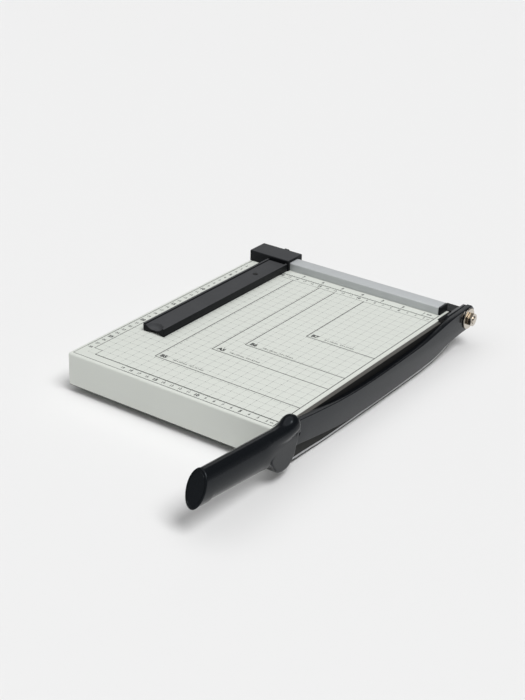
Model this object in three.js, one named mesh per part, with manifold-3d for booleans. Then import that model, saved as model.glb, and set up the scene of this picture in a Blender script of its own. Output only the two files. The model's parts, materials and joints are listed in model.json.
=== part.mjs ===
// A desk paper cutter: a sheet steel board on rubber feet, a fence with a sliding guide,
// a fixed bed knife along the right edge and a hinged arm with a blade and a handle.
//
// Millimetres. While the pieces are made, x = 0 is the cut plane with +X away from the board,
// y = 0 is the front face of the fence with -Y towards the handle, and z = 0 is the board's top.
// At the end the whole model is moved so that its origin is the bottom centre of its bounding box.

import * as THREE from "three";
import { mergeVertices } from "three/addons/utils/BufferGeometryUtils.js";
import Module from "manifold-3d";

const wasm = await Module();
wasm.setup();

// Fits that every piece shares
const seatGap = 0.3; // between pieces that touch on the real object
const cutOverrun = 1; // how far a cutting tool runs past the face it opens
const roundSides = 16; // sides of a small round piece
const wideSides = 32; // sides of a large round piece

// Board tray
const boardWidth = 254; // cut plane to the left wall
const boardLength = 321; // front wall to back wall
const wallHeight = 34;
const sheet = 1.2;
const trayCornerRadius = 5;
const trayEdgeRadius = 2.4;
const trayEdgeSteps = 4;
const trayCornerSteps = 5;
const flangeWidth = 14;
const rideHeight = 9; // table to the bottom of the walls

// Channels that stiffen the board from below
const channelShares = [1 / 3, 2 / 3]; // along the board
const channelCrown = 24;
const channelDepth = 15;
const channelLip = 10;
const channelEndGap = 0.6;

// Feet
const cornerPlateSide = 46;
const cornerPlateThickness = 1.5;
const footInset = 27; // walls to the middle of a foot
const footTopRadius = 10;
const footBottomRadius = 8.5;
const footRecessRadius = 5;
const footRecessDepth = 4.5;

// Screws
const smallShank = 2;
const smallHead = 3.8;
const smallHeadHeight = 2.2;
const footScrewStickOut = 2.5;

// Bed knife
const knifeThickness = 4.7;
const knifeHeight = 22;
const knifeFrontInset = 1.5; // front wall to the knife's front end
const knifeBevel = 0.5;
const knifeReliefLength = 8; // lowered stretch beside the fence
const knifeReliefDepth = 3;
const knifeScrewShares = [0.08, 0.5, 0.92]; // along the knife
const knifeScrewBite = 3.2;

// Fence
const fenceDepth = 15.9;
const fenceHeight = 9;
const fenceWall = 1.6;
const fenceChamfer = 0.8;
const fenceLeftInset = 3.5; // left wall to the fence's left end cap
const fenceRightInset = 10.5; // cut plane to the fence's right end cap
const capThickness = 2;
const capSpigot = 6;
const fenceScrewShares = [0.1, 0.5, 0.9];
const fenceScrewBite = 1.3;

// Pivot bracket and its bolt
const pivotBehindBoard = 16; // back wall to the pivot axis
const pivotDepth = 10.2; // board top to the pivot axis
const earRunningGap = 0.7; // cut plane to the ear's outer face
const earFrontY = 1;
const earStepY = 8.5;
const earStepDrop = 3;
const earBehindPivot = 12;
const earHeight = 30;
const earCornerCut = 3;
const bracketLegLength = 58;
const bracketLegThickness = 4;
const bracketSkirtGap = 1.2; // guide block's skirt to the top of the bracket's leg
const webThickness = 2.4;
const webLength = 15;
const webBehindPivot = 1.5;
const bracketScrewShares = [0.3, 0.75];
const bracketScrewBite = 3;
const earScrewY = 9.5;
const boltRadius = 4;
const boltHeadAcrossFlats = 12;
const boltHeadHeight = 5;
const waveWasherRadius = 8.5;
const waveWasherThickness = 0.4;
const flatWasherRadius = 12;
const flatWasherThickness = 1.6;
const nutAcrossFlats = 13;
const nutHeight = 5;
const boltEndLength = 1.5;
const hexSides = 6;

// Arm bar
const armThickness = 6.4;
const armWidth = 24.5;
const collarBack = 24; // front wall back to the front of the handle's collar
const armSag = 10.2; // how far the bar bows below its chord
const armRise = 1.5; // collar end of the centre line above the pivot
// Along the bar from the pivot, then the share of the sag
const armSagShares = [
  [0, 0.06], [0.1, 0.14], [0.2, 0.5], [0.3, 0.82], [0.43, 0.94], [0.56, 1], [0.68, 0.96], [0.79, 0.76],
  [0.9, 0.39], [1, 0]];
const armSteps = 26;
const armEndBehindPivot = 12.4;
const armEndChamfer = 4.2;
const tangWidth = 16;
const tangLength = 72;
const tangSlopeShare = 0.091; // rise of the handle's axis for its length
const collarGrip = 14; // full width of the bar that sits inside the collar
const bushRadius = 6;

// Blade
const bladeThickness = 2.2;
const bladeTopDrop = 14; // board top to the blade's back
const bladeEdgeDrop = 38.6; // board top to the lowest point of the cutting edge
const bladeBelly = 7.5; // how far the edge rises towards the pivot
// Along the blade from the pivot end, then the share of the belly
const bladeBellyShares = [
  [0, 1], [0.07, 0.72], [0.15, 0.33], [0.23, 0.12], [0.35, 0.02], [0.5, 0], [0.8, 0.02], [0.9, 0.08],
  [1, 0.16]];
const bladeSteps = 14;
const bladeBackY = 6;
const bladeFrontInset = 4; // front wall to the blade's front end
const bladeBevelHeight = 3.2;
const bladeLand = 0.6; // thickness left at the cutting edge
const bladeEndCut = 9;
const bladeScrewShares = [0.1, 0.37, 0.64, 0.86];
const bladeScrewDrop = 4.8; // blade's back to the screws
const bladeScrewRadius = 1.8;
const bladeScrewHead = 3.2;
const bladeScrewSink = 1.3;
const bladeScrewBite = 2.6;

// Handle
const gripLength = 149.3; // collar to the middle of the grip's end face
const gripAxisDrop = 2.1; // bar's middle at the collar to the grip's axis
const gripHalfWidth = 11.4;
const gripHalfHeight = 16.7;
const gripEndHalfWidth = 10.5;
const gripEndHalfHeight = 15.9;
const gripSides = 32;
const gripRingShares = [0.4, 0.55, 0.7]; // rings between the shoulder and the end face
const endSlopeShare = 0.46; // run of the oblique end face for its rise
const endTurnShare = 0.08; // run of the end face for its width
const endCapThickness = 4;
const endCapSpigotShare = 0.62;
const endCapSpigotLength = 7;
const shoulderBack = 6; // collar to the front of the grip's body
const shoulderLength = 39;
// Along the shoulder, then shares of the grip's half width and half height
const shoulderShares = [
  [0, 0.42, 0.42], [0.08, 0.42, 0.66], [0.16, 0.42, 0.9], [0.29, 0.45, 1], [0.44, 0.55, 1], [0.6, 0.74, 1],
  [0.78, 0.91, 1], [1, 1, 1]];
const knuckleRadius = 10;
const knuckleBack = 12.4; // collar to the knuckle's middle
const knuckleRise = 11.8; // bar's middle at the collar to the knuckle's middle
const knuckleTail = 26; // the knuckle's middle to where it has sunk into the grip
const knuckleSink = 1.5; // how far below the grip's top its tail ends
const knuckleSteps = 6;
const collarCover = 1.8; // thickness of the collar's outer wall
const guardInnerDrop = 7.5; // bar's middle to the guard's inner face
const collarFront = 1.4; // collar to the front of its flat side
const collarLength = 50;
const collarRise = 18.4; // bar's middle at the collar to the top of the flat side
const collarHeight = 44.3;
// Back along the collar and down its flat side, from the top round the front and the guard
const collarShares = [
  [0.28, 0], [0.1, 0], [0.04, 0.13], [0.01, 0.26], [0, 0.38], [0.04, 0.51], [0.11, 0.61], [0.15, 0.72],
  [0.2, 0.83], [0.31, 0.93], [0.44, 0.98], [0.57, 1], [0.75, 0.96], [0.86, 0.83], [0.95, 0.61], [0.97, 0.4],
  [0.5, 0.12]];
const guardEdge = 3.5; // thickness left at the guard's lower edge
const guardTaperHeight = 15;
const slotWidth = 1.2;
const slotHeight = 8.5;
const slotDepth = 1.6;
const slotLean = 3.1; // its foot lies further back than its top
const slotBack = 1.2; // front of the collar's flat side to the top of the slot
const slotDrop = 16.8; // top of the collar's flat side to the top of the slot
const handleScrewShares = [0.35, 0.8]; // along the tang
const handleScrewBite = 4;

// Guide that slides on the fence
const guideLeftInset = 1.5; // left wall to the guide block
const guideBlockLength = 52;
const guideBlockFront = 3.8; // fence front to the block's front face
const guideBlockBack = 6.1; // back wall to the block's back face
const guideBlockRoof = 3.2; // fence top to the block's top
const guideBlockSkirt = 8; // how far the back leg hangs below the board
const guideBlockChamfer = 0.8;
const guideArmWidth = 27;
const guideArmReach = 220; // fence front to the free end
const guideArmHeight = 8.8;
const guideArmLip = 2.6;
const guideArmRecess = 1.4;
const guideArmWeb = 2;
const guideArmWall = 2.2;
const guideArmEndWall = 4;
const fingerArchRadius = 16;
const fingerArchHeight = 3.6;
const fingerArchDepth = 7;
const thumbScoopRadius = 26;
const thumbScoopDepth = 1.5;
const magnetWidth = 14;
const magnetThickness = 3;
const magnetEndGap = 12;
const magnetScrewInset = 42.2; // guide block to the magnet's screw
const magnetScrewHead = 2.6;
const magnetScrewHeadHeight = 0.9;
const magnetScrewRadius = 1.3;
const guideScrewShares = [0.3, 0.7]; // across the guide arm
const guideScrewRadius = 1.3;
const guideScrewHead = 2.5;
const guideScrewHeadHeight = 1.2;
const guideScrewLength = 6;
const shoeLength = 14;
const shoeHeight = 6;
const shoeThickness = 0.8;
const knobRadius = 7.5;
const knobLength = 9;
const knobLobes = 12;
const knobLobeDepth = 0.8;
const knobHeightOverBoard = 2.2;
const lockScrewRadius = 2;
const knobSocket = 5;

// Places that follow from the sizes above
const leftX = -boardWidth;
const backY = fenceDepth + seatGap + shoeThickness;
const frontY = backY - boardLength;
const trayRightX = -knifeThickness - seatGap;
const trayMiddleX = (leftX + trayRightX) / 2;
const trayMiddleY = (frontY + backY) / 2;
const tableZ = -wallHeight - rideHeight;
const armInnerX = seatGap;
const armOuterX = armInnerX + armThickness;
const armMiddleX = (armInnerX + armOuterX) / 2;
const bladeOuterX = armInnerX + bladeThickness;
const pivotY = backY + pivotBehindBoard;
const pivotPlace = { y: pivotY, z: -pivotDepth };
const collarY = frontY + collarBack;
const collarZ = armRise - pivotDepth;
const armReach = pivotY - collarY;
const bladeFrontY = frontY + bladeFrontInset;
const bladeLength = bladeBackY - bladeFrontY;
const guideBlockTop = fenceHeight + seatGap + guideBlockRoof;
const guideX0 = leftX + guideLeftInset;
const guideX1 = guideX0 + guideBlockLength;

// Turns a closed geometry into a solid for cutting and joining
function solid(geometry) {
  const bare = geometry.index ? geometry.toNonIndexed() : geometry.clone();
  bare.deleteAttribute("normal");
  bare.deleteAttribute("uv");
  const merged = mergeVertices(bare);
  return new wasm.Manifold(new wasm.Mesh({
    numProp: 3,
    vertProperties: new Float32Array(merged.attributes.position.array),
    triVerts: new Uint32Array(merged.index.array),
  }));
}

// Turns a solid back into a flat-shaded geometry
function geometryOf(body) {
  const mesh = body.getMesh();
  const geometry = new THREE.BufferGeometry();
  geometry.setAttribute("position", new THREE.BufferAttribute(mesh.vertProperties, mesh.numProp));
  geometry.setIndex(new THREE.BufferAttribute(mesh.triVerts, 1));
  const flat = geometry.toNonIndexed();
  flat.computeVertexNormals();
  return flat;
}

// A block between two corners
function block(x0, x1, y0, y1, z0, z1) {
  const geometry = new THREE.BoxGeometry(x1 - x0, y1 - y0, z1 - z0);
  return solid(geometry.translate((x0 + x1) / 2, (y0 + y1) / 2, (z0 + z1) / 2));
}

// A round bar or cone along X, Y or Z, from one place on that axis to another
function rod(axis, from, to, radius, centre, sides = roundSides, endRadius = radius) {
  const geometry = new THREE.CylinderGeometry(endRadius, radius, to - from, sides);
  geometry.translate(0, (from + to) / 2, 0);
  if (axis === "x") geometry.rotateZ(-Math.PI / 2);
  if (axis === "z") geometry.rotateX(Math.PI / 2);
  return solid(geometry.translate(centre.x ?? 0, centre.y ?? 0, centre.z ?? 0));
}

// The body with a clearance hole right through it at each place, between two places on the axis
function drill(body, axis, from, to, radius, places, sides = roundSides) {
  let drilled = body;
  for (const place of places) {
    drilled = drilled.subtract(rod(axis, from - cutOverrun, to + cutOverrun, radius + seatGap, place, sides));
  }
  return drilled;
}

// An outline in the YZ plane, carried along X
function plateAlongX(points, x0, x1) {
  const shape = new THREE.Shape(points.map(([y, z]) => new THREE.Vector2(y, z)));
  const geometry = new THREE.ExtrudeGeometry(shape, { depth: x1 - x0, bevelEnabled: false });
  const turn = new THREE.Matrix4().makeBasis(
    new THREE.Vector3(0, 1, 0), new THREE.Vector3(0, 0, 1), new THREE.Vector3(1, 0, 0));
  return solid(geometry.applyMatrix4(turn).translate(x0, 0, 0));
}

// An outline in the XZ plane, carried along Y
function barAlongY(points, y0, y1) {
  const shape = new THREE.Shape(points.map(([x, z]) => new THREE.Vector2(x, z)));
  const geometry = new THREE.ExtrudeGeometry(shape, { depth: y1 - y0, bevelEnabled: false });
  const turn = new THREE.Matrix4().makeBasis(
    new THREE.Vector3(1, 0, 0), new THREE.Vector3(0, 0, 1), new THREE.Vector3(0, -1, 0));
  return solid(geometry.applyMatrix4(turn).translate(0, y1, 0));
}

// A closed skin over rings of points, from the first ring to the last
function loft(rings) {
  const sides = rings[0].length;
  const positions = rings.flat(2);
  const indices = [];
  for (let ring = 0; ring + 1 < rings.length; ring += 1) {
    for (let side = 0; side < sides; side += 1) {
      const next = (side + 1) % sides;
      const a = ring * sides + side;
      const b = ring * sides + next;
      indices.push(a, a + sides, b, b, a + sides, b + sides);
    }
  }
  const last = (rings.length - 1) * sides;
  for (let side = 1; side + 1 < sides; side += 1) {
    indices.push(0, side, side + 1);
    indices.push(last, last + side + 1, last + side);
  }
  const geometry = new THREE.BufferGeometry();
  geometry.setAttribute("position", new THREE.Float32BufferAttribute(positions, 3));
  geometry.setIndex(indices);
  return solid(geometry);
}

// A pan-head screw along an axis: its head spans from headEnd to neck, its shank from neck to tip
function panScrew(axis, headEnd, neck, tip, centre, shank = smallShank, head = smallHead) {
  const [h0, h1] = [Math.min(headEnd, neck), Math.max(headEnd, neck)];
  const [s0, s1] = [Math.min(headEnd, tip), Math.max(headEnd, tip)];
  return rod(axis, h0, h1, head, centre).add(rod(axis, s0, s1, shank, centre));
}

const paint = { colour: 0xd9ddd6, roughness: 0.55, metalness: 0 };
const blackSteel = { colour: 0x2b2d30, roughness: 0.35, metalness: 0.3 };
const blackPlastic = { colour: 0x242528, roughness: 0.42, metalness: 0 };
const gripPlastic = { colour: 0x1b1c1f, roughness: 0.3, metalness: 0 };
const rubber = { colour: 0x1a1a1a, roughness: 0.85, metalness: 0 };
const groundSteel = { colour: 0xa8a8a4, roughness: 0.28, metalness: 0.95 };
const nickel = { colour: 0xd6d3cc, roughness: 0.2, metalness: 1 };
const zinc = { colour: 0xb4b6b8, roughness: 0.35, metalness: 0.9 };
const aluminium = { colour: 0xc4c8ca, roughness: 0.4, metalness: 0.85 };
const bronze = { colour: 0xa07d4a, roughness: 0.35, metalness: 0.9 };
const magnetRubber = { colour: 0x3a3836, roughness: 0.8, metalness: 0 };

const cutter = new THREE.Group();

// Adds one solid to the model as a named mesh with its own material
function addPiece(name, body, { colour, roughness, metalness }) {
  const material = new THREE.MeshStandardMaterial({ color: colour, roughness, metalness });
  const mesh = new THREE.Mesh(geometryOf(body), material);
  mesh.name = name;
  cutter.add(mesh);
}

// Rounded rectangle seen from above
function roundedRectangle(x0, x1, y0, y1, radius) {
  const shape = new THREE.Shape();
  shape.moveTo(x0 + radius, y0);
  shape.lineTo(x1 - radius, y0);
  shape.absarc(x1 - radius, y0 + radius, radius, -Math.PI / 2, 0);
  shape.lineTo(x1, y1 - radius);
  shape.absarc(x1 - radius, y1 - radius, radius, 0, Math.PI / 2);
  shape.lineTo(x0 + radius, y1);
  shape.absarc(x0 + radius, y1 - radius, radius, Math.PI / 2, Math.PI);
  shape.lineTo(x0, y0 + radius);
  shape.absarc(x0 + radius, y0 + radius, radius, Math.PI, Math.PI * 1.5);
  return shape;
}

// Pan-head screws of the base, as values that both the holes and the screws use
const footPlaces = [leftX + footInset, trayRightX - footInset]
  .flatMap((x) => [frontY + footInset, backY - footInset].map((y) => ({ x, y })));
const knifeFrontY = frontY + knifeFrontInset;
const knifeScrewPlaces = knifeScrewShares.map((share) => (
  { y: knifeFrontY * (1 - share), z: -knifeHeight / 2 }));
const fenceX0 = leftX + fenceLeftInset;
const fenceX1 = -fenceRightInset;
const fenceScrewPlaces = fenceScrewShares.map((share) => (
  { x: fenceX0 + share * (fenceX1 - fenceX0), y: fenceDepth / 2 }));
const legTop = -guideBlockSkirt - bracketSkirtGap;
const bracketScrewPlaces = bracketScrewShares.map((share) => (
  { x: trayRightX - share * bracketLegLength, z: (legTop - earHeight) / 2 }));
const earScrewPlace = { y: earScrewY, z: -earHeight / 2 };

// The pressed tray: a top sheet with four walls and a flange turned in at their bottoms
function makeTray() {
  const bevel = {
    depth: wallHeight - 2 * trayEdgeRadius,
    bevelEnabled: true,
    bevelThickness: trayEdgeRadius,
    bevelSize: trayEdgeRadius,
    bevelSegments: trayEdgeSteps,
    curveSegments: trayCornerSteps,
  };
  const outline = roundedRectangle(
    leftX + trayEdgeRadius, trayRightX - trayEdgeRadius,
    frontY + trayEdgeRadius, backY - trayEdgeRadius, trayCornerRadius - trayEdgeRadius);
  const outside = new THREE.ExtrudeGeometry(outline, bevel).translate(0, 0, trayEdgeRadius - wallHeight);
  const hollow = block(
    leftX + sheet, trayRightX - sheet, frontY + sheet, backY - sheet, sheet - wallHeight, -sheet);
  const mouth = block(
    leftX + flangeWidth, trayRightX - flangeWidth, frontY + flangeWidth, backY - flangeWidth,
    -wallHeight - cutOverrun, -sheet);
  let tray = solid(outside).subtract(hollow).subtract(mouth);
  tray = drill(tray, "x", trayRightX - sheet, trayRightX, smallShank, [...knifeScrewPlaces, earScrewPlace]);
  tray = drill(tray, "z", -sheet, 0, smallShank, fenceScrewPlaces);
  return drill(tray, "y", backY - sheet, backY, smallShank, bracketScrewPlaces);
}

// A hat-section channel across the underside of the board
function makeChannel(y) {
  const top = -sheet - seatGap;
  const half = channelCrown / 2;
  const section = [
    [y - half - channelLip, top], [y - half - channelLip, top - sheet], [y - half, top - sheet],
    [y - half, top - channelDepth], [y + half, top - channelDepth], [y + half, top - sheet],
    [y + half + channelLip, top - sheet], [y + half + channelLip, top], [y + half - sheet, top],
    [y + half - sheet, top - channelDepth + sheet], [y - half + sheet, top - channelDepth + sheet],
    [y - half + sheet, top],
  ];
  return plateAlongX(section, leftX + sheet + channelEndGap, trayRightX - sheet - channelEndGap);
}

// A square plate that lies on the flange in a corner and carries a foot
function makeCornerPlate({ x, y }) {
  const z0 = -wallHeight + sheet + seatGap;
  const toLeft = x < trayMiddleX;
  const toFront = y < trayMiddleY;
  const x0 = toLeft ? leftX + sheet + seatGap : trayRightX - sheet - seatGap - cornerPlateSide;
  const y0 = toFront ? frontY + sheet + seatGap : backY - sheet - seatGap - cornerPlateSide;
  const plate = block(x0, x0 + cornerPlateSide, y0, y0 + cornerPlateSide, z0, z0 + cornerPlateThickness);
  return drill(plate, "z", z0, z0 + cornerPlateThickness, smallShank, [{ x, y }]);
}

// A rubber foot with a recess below for its screw's head
function makeFoot(place) {
  const top = -wallHeight + sheet;
  const foot = rod("z", tableZ, top, footBottomRadius, place, wideSides, footTopRadius);
  const recess = rod("z", tableZ - cutOverrun, tableZ + footRecessDepth, footRecessRadius, place);
  const hole = rod("z", tableZ, top + cutOverrun, smallShank + seatGap, place);
  return foot.subtract(recess).subtract(hole);
}

function makeFootScrew(place) {
  const neck = tableZ + footRecessDepth - seatGap;
  const tip = -wallHeight + sheet + seatGap + cornerPlateThickness + footScrewStickOut;
  return panScrew("z", neck - smallHeadHeight, neck, tip, place);
}

addPiece("base_tray", makeTray(), paint);
channelShares.forEach((share, index) => {
  addPiece(`board_channel_${index + 1}`, makeChannel(frontY + share * boardLength), zinc);
});
footPlaces.forEach((place, index) => {
  addPiece(`corner_plate_${index + 1}`, makeCornerPlate(place), zinc);
  addPiece(`rubber_foot_${index + 1}`, makeFoot(place), rubber);
  addPiece(`foot_screw_${index + 1}`, makeFootScrew(place), zinc);
});

// The fixed lower blade, screwed to the tray's right wall from inside
function makeBedKnife() {
  const section = [
    [-knifeThickness, -knifeHeight], [0, -knifeHeight], [0, 0],
    [knifeBevel - knifeThickness, 0], [-knifeThickness, -knifeBevel],
  ];
  let knife = barAlongY(section, knifeFrontY, 0);
  for (const place of knifeScrewPlaces) {
    const hole = rod("x", -knifeThickness - cutOverrun, -knifeThickness + knifeScrewBite + seatGap,
      smallShank + seatGap, place);
    knife = knife.subtract(hole);
  }
  const [x0, x1] = [-knifeThickness - cutOverrun, cutOverrun];
  return knife.subtract(block(x0, x1, -knifeReliefLength, cutOverrun, -knifeReliefDepth, cutOverrun));
}

addPiece("bed_knife", makeBedKnife(), groundSteel);
knifeScrewPlaces.forEach((place, index) => {
  const neck = trayRightX - sheet - seatGap;
  const screw = panScrew("x", neck - smallHeadHeight, neck, -knifeThickness + knifeScrewBite, place);
  addPiece(`bed_knife_screw_${index + 1}`, screw, zinc);
});

// The fence: a hollow strip with chamfered top edges
function fenceSection(inset) {
  const [y0, y1] = [inset, fenceDepth - inset];
  const [z0, z1] = [seatGap + inset, fenceHeight - inset];
  const cut = Math.max(fenceChamfer - inset, 0);
  return [[y0, z0], [y1, z0], [y1, z1 - cut], [y1 - cut, z1], [y0 + cut, z1], [y0, z1 - cut]];
}

function makeFence() {
  const [x0, x1] = [fenceX0 + capThickness + seatGap, fenceX1 - capThickness - seatGap];
  const outside = plateAlongX(fenceSection(0), x0, x1);
  const fence = outside.subtract(plateAlongX(fenceSection(fenceWall), x0 - cutOverrun, x1 + cutOverrun));
  return drill(fence, "z", seatGap, seatGap + fenceWall, smallShank, fenceScrewPlaces);
}

// An end cap: a plate with the fence's outline and a spigot inside it
function makeFenceCap(outerX, inward) {
  const plateEnd = outerX + inward * capThickness;
  const spigotEnd = plateEnd + inward * capSpigot;
  const plate = plateAlongX(fenceSection(0), Math.min(outerX, plateEnd), Math.max(outerX, plateEnd));
  const spigot = plateAlongX(
    fenceSection(fenceWall + seatGap), Math.min(plateEnd, spigotEnd), Math.max(plateEnd, spigotEnd));
  return plate.add(spigot);
}

addPiece("fence_rail", makeFence(), aluminium);
addPiece("fence_cap_left", makeFenceCap(fenceX0, 1), blackPlastic);
addPiece("fence_cap_right", makeFenceCap(fenceX1, -1), blackPlastic);
fenceScrewPlaces.forEach((place, index) => {
  const neck = -sheet - seatGap;
  const tip = seatGap + fenceWall + fenceScrewBite;
  addPiece(`fence_screw_${index + 1}`, panScrew("z", neck - smallHeadHeight, neck, tip, place), zinc);
});

// The pivot bracket: an ear in line with the bed knife, a leg behind the tray and a web between them
function makePivotBracket() {
  const earEndY = pivotY + earBehindPivot;
  const ear = plateAlongX([
    [earFrontY, -earHeight], [earEndY - earCornerCut, -earHeight], [earEndY, earCornerCut - earHeight],
    [earEndY, -earCornerCut], [earEndY - earCornerCut, 0], [earStepY, 0], [earFrontY, -earStepDrop],
  ], -knifeThickness, -earRunningGap);
  const legY0 = backY + seatGap;
  const legY1 = legY0 + bracketLegThickness;
  const leg = block(trayRightX - bracketLegLength, -earRunningGap, legY0, legY1, -earHeight, legTop);
  const [webX0, webX1] = [-knifeThickness - webLength, -earRunningGap];
  const web = block(webX0, webX1, legY0, pivotY + webBehindPivot, -webThickness, 0);
  const riser = block(webX0, webX1, legY0, legY1, legTop - cutOverrun, 0);
  let bracket = ear.add(leg).add(web).add(riser);
  for (const place of bracketScrewPlaces) {
    const holeEndY = legY0 + bracketScrewBite + seatGap;
    bracket = bracket.subtract(rod("y", legY0 - cutOverrun, holeEndY, smallShank + seatGap, place));
  }
  const holeEndX = -knifeThickness + bracketScrewBite + seatGap;
  const holeStartX = -knifeThickness - cutOverrun;
  bracket = bracket.subtract(rod("x", holeStartX, holeEndX, smallShank + seatGap, earScrewPlace));
  return drill(bracket, "x", -knifeThickness, 0, boltRadius, [pivotPlace], wideSides);
}

const washerX = armOuterX + seatGap;
const nutX = washerX + flatWasherThickness + seatGap;
const boltEndX = nutX + nutHeight + boltEndLength;

function washer(x0, thickness, radius) {
  const disc = rod("x", x0, x0 + thickness, radius, pivotPlace, wideSides);
  return drill(disc, "x", x0, x0 + thickness, boltRadius, [pivotPlace], wideSides);
}

function makePivotBolt() {
  const headX = -knifeThickness - seatGap;
  const headRadius = boltHeadAcrossFlats / Math.sqrt(3);
  const head = rod("x", headX - boltHeadHeight, headX, headRadius, pivotPlace, hexSides);
  return head.add(rod("x", headX - boltHeadHeight / 2, boltEndX, boltRadius, pivotPlace, wideSides));
}

function makePivotNut() {
  const radius = nutAcrossFlats / Math.sqrt(3);
  const blank = rod("x", nutX, nutX + nutHeight, radius, pivotPlace, hexSides);
  return drill(blank, "x", nutX, nutX + nutHeight, boltRadius, [pivotPlace], wideSides);
}

addPiece("pivot_bracket", makePivotBracket(), blackSteel);
bracketScrewPlaces.forEach((place, index) => {
  const neck = backY - sheet - seatGap;
  const tip = backY + seatGap + bracketScrewBite;
  addPiece(`bracket_screw_${index + 1}`, panScrew("y", neck - smallHeadHeight, neck, tip, place), zinc);
});
const earScrewNeck = trayRightX - sheet - seatGap;
const earScrew = panScrew(
  "x", earScrewNeck - smallHeadHeight, earScrewNeck, -knifeThickness + bracketScrewBite, earScrewPlace);
addPiece(`bracket_screw_${bracketScrewPlaces.length + 1}`, earScrew, zinc);
addPiece("pivot_bolt", makePivotBolt(), nickel);
addPiece("wave_washer", washer(seatGap - earRunningGap, waveWasherThickness, waveWasherRadius), zinc);
addPiece("flat_washer", washer(washerX, flatWasherThickness, flatWasherRadius), nickel);
addPiece("pivot_nut", makePivotNut(), nickel);

// The arm bar's centre line: a chord from the pivot to the collar, less a smooth sag
const sagCurve = new THREE.SplineCurve(armSagShares.map(([along, share]) => (
  new THREE.Vector2(along * armReach, share * armSag))));

function armCentre(step) {
  const { x: along, y: sag } = sagCurve.getPoint(step / armSteps);
  return [pivotY - along, -pivotDepth + armRise * (along / armReach) - sag];
}

// The handle's axis rises steadily from the collar
const handleRise = (y) => (collarY - y) * tangSlopeShare;

// The bar's outline with its tang, grown all round by a margin
function armOutline(grow) {
  const half = armWidth / 2 + grow;
  const tangHalf = tangWidth / 2 + grow;
  const farY = pivotY + armEndBehindPivot + grow;
  const centres = Array.from({ length: armSteps + 1 }, (_, step) => armCentre(step));
  const shoulderY = collarY - collarGrip - grow;
  const tangEndY = collarY - collarGrip - tangLength - grow;
  const rise = (y) => collarZ + handleRise(y);
  const top = centres.map(([y, z]) => [y, z + half]);
  const bottom = centres.map(([y, z]) => [y, z - half]).reverse();
  const farZ = centres[0][1];
  return [
    [farY - armEndChamfer, farZ + half], ...top, [shoulderY, rise(shoulderY) + half],
    [shoulderY, rise(shoulderY) + tangHalf], [tangEndY, rise(tangEndY) + tangHalf],
    [tangEndY, rise(tangEndY) - tangHalf], [shoulderY, rise(shoulderY) - tangHalf],
    [shoulderY, rise(shoulderY) - half], ...bottom, [farY - armEndChamfer, farZ - half],
    [farY, farZ - half + armEndChamfer], [farY, farZ + half - armEndChamfer],
  ];
}

const bladeScrewPlaces = bladeScrewShares.map((share) => (
  { y: bladeBackY - share * bladeLength, z: -bladeTopDrop - bladeScrewDrop }));
const handleScrewPlaces = handleScrewShares.map((share) => {
  const y = collarY - collarGrip - share * tangLength;
  return { y, z: collarZ + handleRise(y) };
});

function makeArmBar() {
  let bar = plateAlongX(armOutline(0), armInnerX, armOuterX);
  bar = bar.subtract(block(
    armInnerX - cutOverrun, bladeOuterX + seatGap, bladeFrontY - seatGap, bladeBackY + seatGap,
    tableZ, seatGap - bladeTopDrop));
  bar = drill(bar, "x", armInnerX, armOuterX, bushRadius, [pivotPlace], wideSides);
  bar = drill(bar, "x", armInnerX, armOuterX, smallShank, handleScrewPlaces);
  const holeEndX = bladeOuterX + bladeScrewBite + seatGap;
  for (const place of bladeScrewPlaces) {
    bar = bar.subtract(rod("x", armInnerX, holeEndX, bladeScrewRadius + seatGap, place));
  }
  return bar;
}

function makeBush() {
  const bush = rod("x", armInnerX, armOuterX, bushRadius, pivotPlace, wideSides);
  return drill(bush, "x", armInnerX, armOuterX, boltRadius, [pivotPlace], wideSides);
}

const bellyCurve = new THREE.SplineCurve(
  bladeBellyShares.map(([along, share]) => new THREE.Vector2(along, share)));

// A countersunk screw that goes in from the blade's inner face, grown all round by a margin
function bladeScrew(tipX, place, grow) {
  const [head, shank] = [bladeScrewHead + grow, bladeScrewRadius + grow];
  const cone = rod("x", armInnerX - grow, armInnerX + bladeScrewSink, head, place, roundSides, shank);
  return cone.add(rod("x", armInnerX, tipX, shank, place));
}

// The blade: a flat strip whose lower edge bows down and is ground from outside
function makeBlade() {
  const rings = Array.from({ length: bladeSteps + 1 }, (_, step) => {
    const share = step / bladeSteps;
    const y = bladeBackY - share * bladeLength;
    const edgeZ = -bladeEdgeDrop + bladeBelly * bellyCurve.getPoint(share).y;
    return [
      [bladeOuterX, y, -bladeTopDrop], [bladeOuterX, y, edgeZ + bladeBevelHeight],
      [armInnerX + bladeLand, y, edgeZ], [armInnerX, y, edgeZ], [armInnerX, y, -bladeTopDrop],
    ];
  });
  let blade = loft(rings);
  for (const [endY, inward] of [[bladeBackY, -1], [bladeFrontY, 1]]) {
    const lowZ = -bladeEdgeDrop - cutOverrun;
    const highZ = lowZ + bladeEndCut + cutOverrun;
    const outY = endY - inward * cutOverrun;
    const corner = [[outY, lowZ], [endY + inward * bladeEndCut, lowZ], [outY, highZ]];
    const cut = plateAlongX(inward > 0 ? corner : corner.reverse(), 0, bladeOuterX + cutOverrun);
    blade = blade.subtract(cut);
  }
  for (const place of bladeScrewPlaces) {
    blade = blade.subtract(bladeScrew(bladeOuterX + cutOverrun, place, seatGap));
  }
  return blade;
}

addPiece("arm_bar", makeArmBar(), blackSteel);
addPiece("pivot_bush", makeBush(), bronze);
addPiece("arm_blade", makeBlade(), groundSteel);
bladeScrewPlaces.forEach((place, index) => {
  addPiece(`blade_screw_${index + 1}`, bladeScrew(bladeOuterX + bladeScrewBite, place, 0), zinc);
});

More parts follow.
